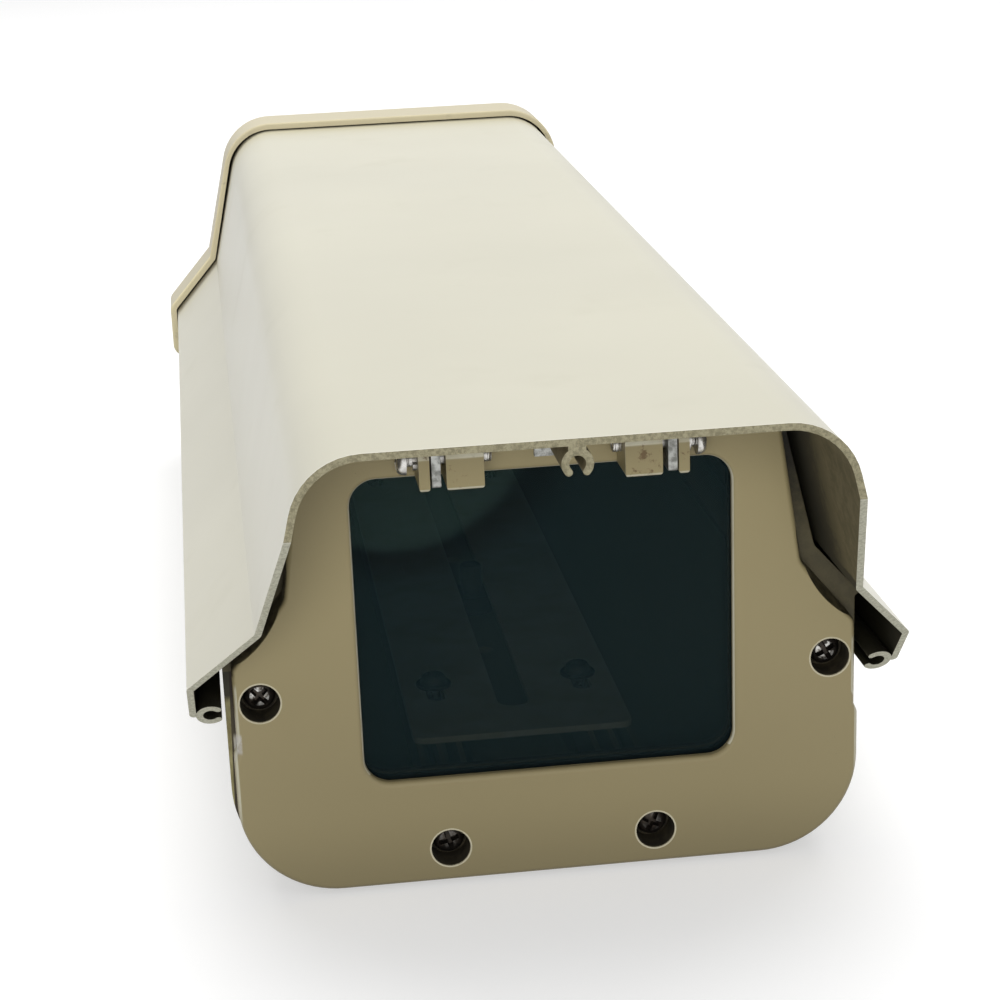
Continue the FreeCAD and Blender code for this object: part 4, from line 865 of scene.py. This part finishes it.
@functools.cache
def spring_washer_group():
    """A split ring of square wire on each point."""
    tree = Group("Spring washers", ("Wire", "Radius", "Split"))
    wire = tree.given("Wire")
    ring = tree.node("GeometryNodeCurveArc", {"mode": "RADIUS"}, {
        "Resolution": 40, "Radius": tree.given("Radius"), "Sweep Angle": math.tau - tree.given("Split")})
    section = tree.node("GeometryNodeCurvePrimitiveQuadrilateral", {"mode": "RECTANGLE"}, {
        "Width": wire, "Height": wire})
    washer = tree.node("GeometryNodeCurveToMesh", {}, {0: ring, 1: section, "Fill Caps": True})
    return tree.close(tree.on_points(washer))


HEAD_NARROWING = 0.22
HEAD_CROWN = 0.18
RECESS_TAPER = 0.7


@functools.cache
def screw_group():
    """Pan-head screws with a cross recess, one on each point, with thread under the head and at the tip."""
    tree = Group("Cross-head screws", (
        "Head Radius", "Head Height", "Shank Radius", "Shank Length", "Thread Length", "Tip Length",
        "Thread Pitch", "Recess Reach", "Recess Width", "Stain"))
    head = cross_head(tree, tree.given("Head Radius"), tree.given("Head Height"))
    length, shank_radius = tree.given("Shank Length"), tree.given("Shank Radius")
    rod = tree.node("GeometryNodeMeshCylinder", {"fill_type": "NGON"}, {
        "Vertices": 24, "Radius": shank_radius, "Depth": length})
    parts = [head, tree.moved(rod, 0.0, 0.0, length * -0.5 + tree.given("Head Height") * 0.3)]
    pitch = tree.given("Thread Pitch")
    ridge = tree.node("GeometryNodeCurvePrimitiveCircle", {}, {"Resolution": 4, "Radius": pitch * 0.42})
    under_head, tip = tree.given("Thread Length"), tree.given("Tip Length")
    for span, start in ((under_head, -under_head), (tip, -length)):
        spiral = tree.node("GeometryNodeCurveSpiral", {}, {
            "Resolution": 20, "Rotations": span / pitch, "Height": span,
            "Start Radius": shank_radius, "End Radius": shank_radius})
        thread = tree.node("GeometryNodeCurveToMesh", {}, {0: spiral, 1: ridge, "Fill Caps": True})
        parts.append(tree.moved(thread, 0.0, 0.0, start))
    whole = tree.node("GeometryNodeJoinGeometry", {}, {0: parts})
    return tree.close(tree.on_points(whole))


def cross_head(tree, radius, height):
    """A crowned head that narrows upwards, with a tapered cross cut into it and its worn middle marked."""
    drum = tree.node("GeometryNodeMeshCylinder", {"fill_type": "TRIANGLE_FAN"}, {
        "Vertices": 36, "Side Segments": 7, "Fill Segments": 4, "Radius": radius, "Depth": height})
    x, y, z = tree.split(tree.node("GeometryNodeInputPosition"))
    level = z / height + 0.5
    out = (x * x + y * y).root() / radius
    narrow = 1.0 - HEAD_NARROWING * level ** 3.0
    rise = height * (0.5 + level * (HEAD_CROWN * (1.0 - out * out)))
    head = tree.node("GeometryNodeSetPosition", {}, {
        0: drum, "Position": tree.join(x * narrow, y * narrow, z + rise)})
    reach, width = radius * tree.given("Recess Reach") * 2.0, radius * tree.given("Recess Width")
    bars = [tree.node("GeometryNodeMeshCube", {}, {"Size": tree.join(*sides, height * 1.5)})
            for sides in ((reach, width), (width, reach))]
    cross = tree.moved(tree.node("GeometryNodeJoinGeometry", {}, {0: bars}), 0.0, 0.0, height * 1.3)
    taper = 1.0 + (z / height - 1.0) * RECESS_TAPER
    cutter = tree.node("GeometryNodeSetPosition", {}, {
        0: cross, "Position": tree.join(x * taper, y * taper, z)})
    headed = tree.node("GeometryNodeMeshBoolean", {"operation": "DIFFERENCE", "solver": "EXACT"}, {
        "Mesh 1": tree.mark_faces(head, "wear_and_highlight", out.below(0.6)), "Mesh 2": cutter,
        "Self Intersection": True})
    return tree.mark_faces(headed, "stained", tree.given("Stain"))


def whole_geometry(mesh):
    return mesh.verts[:] + mesh.edges[:] + mesh.faces[:]


def section_object(node, name, rake_height):
    """The section of an extruded node at mid length, as a flat face at the node's front end."""
    low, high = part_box(node)
    mesh = merged_copy(node)
    bmesh.ops.bisect_plane(
        mesh, geom=whole_geometry(mesh), dist=CUT_DISTANCE, plane_co=(0, (low.y + high.y) / 2, 0),
        plane_no=(0, 1, 0), clear_inner=True, clear_outer=True)
    bmesh.ops.contextual_create(mesh, geom=mesh.edges[:])
    if len(mesh.faces) != 1:
        raise RuntimeError(f"the section of {node} isn't one closed outline")
    for vert in mesh.verts:
        vert.co.y = low.y
    bmesh.ops.bisect_plane(
        mesh, geom=whole_geometry(mesh), dist=CUT_DISTANCE, plane_co=(0, 0, rake_height), plane_no=(0, 0, 1))
    bmesh.ops.recalc_face_normals(mesh, faces=mesh.faces[:])
    if mesh.faces[0].normal.y < 0:
        bmesh.ops.reverse_faces(mesh, faces=mesh.faces[:])
    data = bpy.data.meshes.new(name)
    mesh.to_mesh(data)
    mesh.free()
    return add_object(name, data)


def turned_points(name, points, turns):
    """Loose points, each with the turn of what a node group sets on it."""
    data = bpy.data.meshes.new(name)
    data.from_pydata(points, [], [])
    turn = data.attributes.new("turn", "FLOAT_VECTOR", "POINT")
    turn.data.foreach_set("vector", [value for euler in turns for value in euler])
    return add_object(name, data)


FORWARDS, BACKWARDS = (0, -1, 0), (0, 1, 0)
UPWARDS, DOWNWARDS = (0, 0, 1), (0, 0, -1)
LEAST_THREAD = 0.1 * MM


def screws(name, node, out, sizes, seed=1, stain=0.3, threads=(0.0, 0.0), spins=None):
    """Cross-head screws in place of a node's.

    out points out of the heads, and sizes are the head's radius and height and the shank's radius in
    millimetres. threads are the lengths of thread drawn under the head and at the tip. The screws turn
    at random, or by spins, lowest screw first.
    """
    head_radius, head_height, shank_radius = (size * MM for size in sizes)
    out = Vector(out)
    along = [i for i in range(3) if abs(out[i]) > 0.5][0]
    aim = out.to_track_quat("Z", "Y" if along == 0 else "X").to_matrix().to_4x4()
    rng = random.Random(seed)
    points, turns = [], []
    for low, high in solid_boxes(node):
        seat = (low + high) / 2
        seat[along] = (high if out[along] > 0 else low)[along] - out[along] * head_height
        spin = spins[len(points)] if spins else rng.uniform(0, math.pi)
        turns.append((aim @ Matrix.Rotation(spin, 4, "Z")).to_euler("XYZ"))
        points.append(seat)
    fittings = fitting_settings()
    made = run_group(turned_points(name, points, turns), screw_group(), {
        "Head Radius": head_radius, "Head Height": head_height, "Shank Radius": shank_radius,
        "Shank Length": (high - low)[along] - head_height, "Thread Length": max(threads[0], LEAST_THREAD),
        "Tip Length": max(threads[1], LEAST_THREAD), "Thread Pitch": fittings.thread_pitch,
        "Recess Reach": fittings.recess_reach, "Recess Width": fittings.recess_width, "Stain": stain,
        "Material": finish(SLOTS[node])})
    return dress(keep_edges_sharp(made), node)


# Operators, one for each piece or group of like pieces


class HOUSING_OT_lid(bpy.types.Operator):
    """Draw the lid's section out to its length and rake the hood"""

    bl_idname = "housing.lid"
    bl_label = "Lid"

    rake_height: bpy.props.FloatProperty(
        name="Rake Height", description="Height under which the front is cut back", default=100.9 * MM,
        unit="LENGTH", precision=4)
    rake_slope: bpy.props.FloatProperty(
        name="Rake Slope", description="Cut back per unit of height", default=math.tan(math.radians(43.4)))

    def execute(self, context):
        low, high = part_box("lid_shell")
        paint = finish("lid_paint")
        made = section_object("lid_shell", "lid_extrusion", self.rake_height)
        made = run_group(made, extrusion_group(), {
            "Length": high.y - low.y, "Rake Height": self.rake_height, "Rake Slope": self.rake_slope,
            "Material": paint})
        made = run_group(made, zone_group(), {"Rake Slope": self.rake_slope, "Material": paint})
        dress(soften(made, paint_settings().edge), "lid_shell")
        return {"FINISHED"}


class HOUSING_OT_castings(bpy.types.Operator):
    """Finish the cast front plate, rear plate and end cap"""

    bl_idname = "housing.castings"
    bl_label = "Castings"

    def execute(self, context):
        edge = paint_settings().edge
        rounded_node("front_plate", "front_casting", edge)
        rounded_node("rear_plate", "rear_casting", edge)
        rounded_node("lid_end_cap", "end_cap_casting", edge)
        return {"FINISHED"}


class HOUSING_OT_tray(bpy.types.Operator):
    """Finish the extruded tray and the sheet bulkhead"""

    bl_idname = "housing.tray"
    bl_label = "Tray"

    def execute(self, context):
        rounded_node("base_tray", "tray_extrusion", 0.2 * MM, segments=1)
        rounded_node("bulkhead_plate", "bulkhead_sheet", 0.25 * MM)
        return {"FINISHED"}


class HOUSING_OT_window(bpy.types.Operator):
    """Finish the window pane, the gaskets and the lid's rubber trims"""

    bl_idname = "housing.window"
    bl_label = "Window and Rubbers"

    def execute(self, context):
        rounded_node("window_glass", "window_pane", 0.3 * MM)
        for node in ("glass_gasket", "front_gasket", "rear_gasket"):
            rounded_node(node, node + "_rubber", 0.1 * MM)
        for side in SIDES:
            rounded_node("lid_seal_" + side, "lid_trim_" + side, 0.2 * MM)
        return {"FINISHED"}


FRONT_SPINS = (0.3, 1.1, math.pi / 4, 0.5)
SLED_STAIN = 0.85


class HOUSING_OT_screws(bpy.types.Operator):
    """Set cross-head screws in the plates, the cap, the keeper, the sled, the cam and the earth point"""

    bl_idname = "housing.screws"
    bl_label = "Screws"

    def execute(self, context):
        screws("front_screw_set", "front_plate_screws", FORWARDS, (3.7, 2.6, 2.0), stain=1.0,
               spins=FRONT_SPINS)
        screws("rear_screw_set", "rear_plate_screws", BACKWARDS, (3.7, 2.4, 2.0), seed=4, stain=0.8)
        screws("keeper_screw_set", "keeper_screws", BACKWARDS, (2.7, 1.7, 1.5), seed=5)
        screws("cap_screw_set", "end_cap_screws", BACKWARDS, (2.88, 1.92, 1.6), seed=6)
        screws("bracket_screw_head", "bracket_screw", DOWNWARDS, (2.8, 2.0, 1.6), seed=7)
        screws("sled_screw_set", "sled_screws", UPWARDS, (3.3, 2.2, 1.65), seed=8, stain=SLED_STAIN)
        screws("cam_screw_head", "cam_screw", FORWARDS, (4.16, 2.0, 1.5), seed=9)
        screws("earth_screw_head", "earth_screw", UPWARDS, (4.0, 2.6, 1.95), seed=10)
        return {"FINISHED"}


PIVOT_SIZES = (3.4, 1.9, 1.5)
PIVOT_THREADS = (2.2 * MM, 2.0 * MM)
WASHER_SPLIT = math.radians(14.0)


class HOUSING_OT_hinge(bpy.types.Operator):
    """Finish the hinge bracket, its threaded pivot screws and their spring washers"""

    bl_idname = "housing.hinge"
    bl_label = "Hinge"

    head_and_thread: bpy.props.FloatProperty(
        name="Head and Thread", description="From the ear's outer side to the pivot head's face",
        default=4.2 * MM, unit="LENGTH", precision=4)

    def execute(self, context):
        rounded_node("hinge_bracket", "hinge_strip", 0.15 * MM)
        for name, side in SIDES.items():
            screws("pivot_" + name, "pivot_screw_" + name, (side, 0, 0), PIVOT_SIZES, seed=11 + side,
                   stain=0.0, threads=PIVOT_THREADS)
        self.add_spring_washers(fitting_settings().washer_wire)
        return {"FINISHED"}

    def add_spring_washers(self, wire):
        """Sets a split ring against the outer side of each ear."""
        points, turns = [], []
        for name, side in SIDES.items():
            low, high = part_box("pivot_screw_" + name)
            place = (low + high) / 2
            place.x = (high.x if side > 0 else low.x) - side * (self.head_and_thread - wire / 2)
            points.append(place)
            turns.append(Vector((side, 0, 0)).to_track_quat("Z", "Y").to_euler("XYZ"))
        made = run_group(turned_points("spring_washers", points, turns), spring_washer_group(), {
            "Wire": wire, "Radius": PIVOT_SIZES[2] * MM + wire * 0.62, "Split": WASHER_SPLIT,
            "Material": finish("plated_screw")})
        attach(keep_edges_sharp(made), body_of_node("front_plate"))


class HOUSING_OT_sled(bpy.types.Operator):
    """Finish the camera sled, its washers and the camera screw"""

    bl_idname = "housing.sled"
    bl_label = "Camera Sled"

    def execute(self, context):
        rounded_node("camera_sled", "sled_plate", 0.2 * MM)
        for node, name in (("sled_washers", "sled_washer_set"), ("camera_screw", "camera_screw_turned")):
            data = rounded_node(node, name, 0.12 * MM).data
            stained = data.attributes.new("stained", "FLOAT", "POINT")
            stained.data.foreach_set("value", [SLED_STAIN] * len(data.vertices))
        return {"FINISHED"}


GLAND_PARTS = {
    "body": ("thread", 0.3 * MM),
    "nut": ("dome", 0.5 * MM),
    "seal": ("sleeve", 0.2 * MM),
    "locknut": ("ring", 0.3 * MM),
}


class HOUSING_OT_glands(bpy.types.Operator):
    """Finish the three cable glands"""

    bl_idname = "housing.glands"
    bl_label = "Cable Glands"

    def execute(self, context):
        for place in GLANDS:
            for part, (look, edge) in GLAND_PARTS.items():
                rounded_node(f"gland_{part}_{place}", f"gland_{look}_{place}", edge)
        return {"FINISHED"}


class HOUSING_OT_lock(bpy.types.Operator):
    """Finish the cam lock and its keeper"""

    bl_idname = "housing.lock"
    bl_label = "Lock"

    def execute(self, context):
        rounded_node("lock_barrel", "lock_body", 0.2 * MM)
        rounded_node("lock_plug", "lock_key_plug", 0.15 * MM)
        rounded_node("lock_nut", "lock_ring_nut", 0.3 * MM)
        rounded_node("lock_cam", "lock_blade", 0.2 * MM)
        rounded_node("lock_keeper", "keeper_angle", 0.2 * MM)
        return {"FINISHED"}


class HOUSING_OT_earth(bpy.types.Operator):
    """Finish the earth point's washer"""

    bl_idname = "housing.earth"
    bl_label = "Earth Point"

    def execute(self, context):
        rounded_node("earth_washer", "earth_washer_disc", 0.1 * MM)
        return {"FINISHED"}


# Stage

CAMERA_PLACE = (-0.06806, -0.66820, 0.24494)
CAMERA_AZIMUTH = math.radians(6.485)
CAMERA_ELEVATION = math.radians(19.617)
CAMERA_ROLL = math.radians(-2.327)
CAMERA_SHIFT = (0.0057, 0.1059)
CAMERA_SENSOR = 36.0
FLOOR_REACH = 14.0
FLOOR_GAP = 0.2 * MM
FLOOR_GLOW = (0.45, 0.45, 0.45)
LAMP_TARGET = (0.0, 0.0, 0.05)
OVERHEAD_PLACE = (0.1, 0.5, 1.9)
OVERHEAD_SIZE = 2.4
FRONT_LAMP_PLACE = (-0.4, -2.5, 0.6)
FRONT_LAMP_SIZE = 1.5


def aim_camera(camera):
    """Turns the camera to the measured azimuth, elevation and roll."""
    flat = math.cos(CAMERA_ELEVATION)
    forward = Vector((math.sin(CAMERA_AZIMUTH) * flat, math.cos(CAMERA_AZIMUTH) * flat,
                      -math.sin(CAMERA_ELEVATION)))
    level = Vector((math.cos(CAMERA_AZIMUTH), -math.sin(CAMERA_AZIMUTH), 0.0))
    up = level.cross(forward)
    right = level * math.cos(CAMERA_ROLL) + up * math.sin(CAMERA_ROLL)
    up = up * math.cos(CAMERA_ROLL) - level * math.sin(CAMERA_ROLL)
    axes = Matrix((right, up, -forward)).transposed().to_4x4()
    camera.matrix_world = Matrix.Translation(CAMERA_PLACE) @ axes


def stage_world(fill):
    """White for the camera and in reflections, and an even light for the rest."""
    world = bpy.data.worlds.new("Studio")
    bpy.context.scene.world = world
    world.use_nodes = True
    tree = Tree(world.node_tree)
    seen = tree.node("ShaderNodeLightPath", output="Is Camera Ray")
    for kind in ("Is Transmission Ray", "Is Glossy Ray"):
        seen = seen.math("MAXIMUM", tree.node("ShaderNodeLightPath", output=kind))
    background = tree.node_tree.nodes["Background"]
    tree.feed(background.inputs["Color"], (1.0, 1.0, 1.0))
    tree.feed(background.inputs["Strength"], fill + seen * (1.0 - fill))


def stage_floor(colour, bounce):
    """Pale floor, white to the camera with a soft shadow, that throws little light back up."""
    mesh = bmesh.new()
    bmesh.ops.create_grid(mesh, x_segments=1, y_segments=1, size=FLOOR_REACH)
    data = bpy.data.meshes.new("studio_floor")
    mesh.to_mesh(data)
    mesh.free()
    data.transform(Matrix.Translation((0, 0, FLOOR_LEVEL - FLOOR_GAP)))
    f = Finish("Studio floor")
    mottle = f.mix(f.noise(3.0, 3.0), shade(colour, 0.995), colour)
    seen = 1.0 - f.node("ShaderNodeLightPath", output="Is Diffuse Ray")
    data.materials.append(f.set(
        Base_Color=f.mix(seen, bounce, mottle), Roughness=0.9, Specular_IOR_Level=0.0,
        Emission_Color=f.mix(seen, (0.0, 0.0, 0.0), FLOOR_GLOW), Emission_Strength=1.0))
    add_object("studio_floor", data)


def area_lamp(name, place, size, power):
    lamp = bpy.data.lights.new(name, "AREA")
    lamp.shape = "DISK"
    lamp.size = size
    lamp.energy = power
    made = add_object(name, lamp)
    made.location = place
    made.rotation_euler = (Vector(LAMP_TARGET) - Vector(place)).to_track_quat("-Z", "Y").to_euler()
    made.visible_glossy = False


class HOUSING_OT_stage(bpy.types.Operator):
    """Set the floor, the lamps, the world and the camera"""

    bl_idname = "housing.stage"
    bl_label = "Stage"

    def execute(self, context):
        studio = studio_settings()
        stage_world(studio.fill)
        stage_floor(studio.floor, studio.bounce)
        area_lamp("overhead", OVERHEAD_PLACE, OVERHEAD_SIZE, studio.lamp_power)
        area_lamp("front", FRONT_LAMP_PLACE, FRONT_LAMP_SIZE, studio.front_power)
        data = bpy.data.cameras.new("Studio camera")
        data.lens = studio.lens
        data.sensor_width = CAMERA_SENSOR
        data.shift_x, data.shift_y = CAMERA_SHIFT
        camera = add_object("Studio camera", data)
        aim_camera(camera)
        context.scene.camera = camera
        context.scene.view_settings.view_transform = "Standard"
        return {"FINISHED"}


class HOUSING_PT_parts(bpy.types.Panel):
    """Lists the housing's settings and the operators that make its pieces"""

    bl_idname = "HOUSING_PT_parts"
    bl_label = "Camera Housing"
    bl_space_type = "VIEW_3D"
    bl_region_type = "UI"
    bl_category = "Housing"

    def draw(self, context):
        layout = self.layout
        for settings in (paint_settings(), fitting_settings(), studio_settings()):
            box = layout.box()
            for name in settings.__annotations__:
                box.prop(settings, name)
        for operator in OPERATORS:
            layout.operator(operator.bl_idname)


OPERATORS = (
    HOUSING_OT_lid, HOUSING_OT_castings, HOUSING_OT_tray, HOUSING_OT_window, HOUSING_OT_screws,
    HOUSING_OT_hinge, HOUSING_OT_sled, HOUSING_OT_glands, HOUSING_OT_lock, HOUSING_OT_earth,
    HOUSING_OT_stage,
)
CLASSES = (HousingPaint, HousingFittings, HousingStudio, *OPERATORS, HOUSING_PT_parts)


def register():
    for cls in CLASSES:
        bpy.utils.register_class(cls)
    bpy.types.Scene.housing_paint = bpy.props.PointerProperty(type=HousingPaint)
    bpy.types.Scene.housing_fittings = bpy.props.PointerProperty(type=HousingFittings)
    bpy.types.Scene.housing_studio = bpy.props.PointerProperty(type=HousingStudio)


def unregister():
    del bpy.types.Scene.housing_studio
    del bpy.types.Scene.housing_fittings
    del bpy.types.Scene.housing_paint
    for cls in reversed(CLASSES):
        bpy.utils.unregister_class(cls)


def main():
    register()
    bpy.ops.housing.lid()
    bpy.ops.housing.castings()
    bpy.ops.housing.tray()
    bpy.ops.housing.window()
    bpy.ops.housing.screws()
    bpy.ops.housing.hinge()
    bpy.ops.housing.sled()
    bpy.ops.housing.glands()
    bpy.ops.housing.lock()
    bpy.ops.housing.earth()
    bpy.ops.housing.stage()


if __name__ == "__main__":
    main()
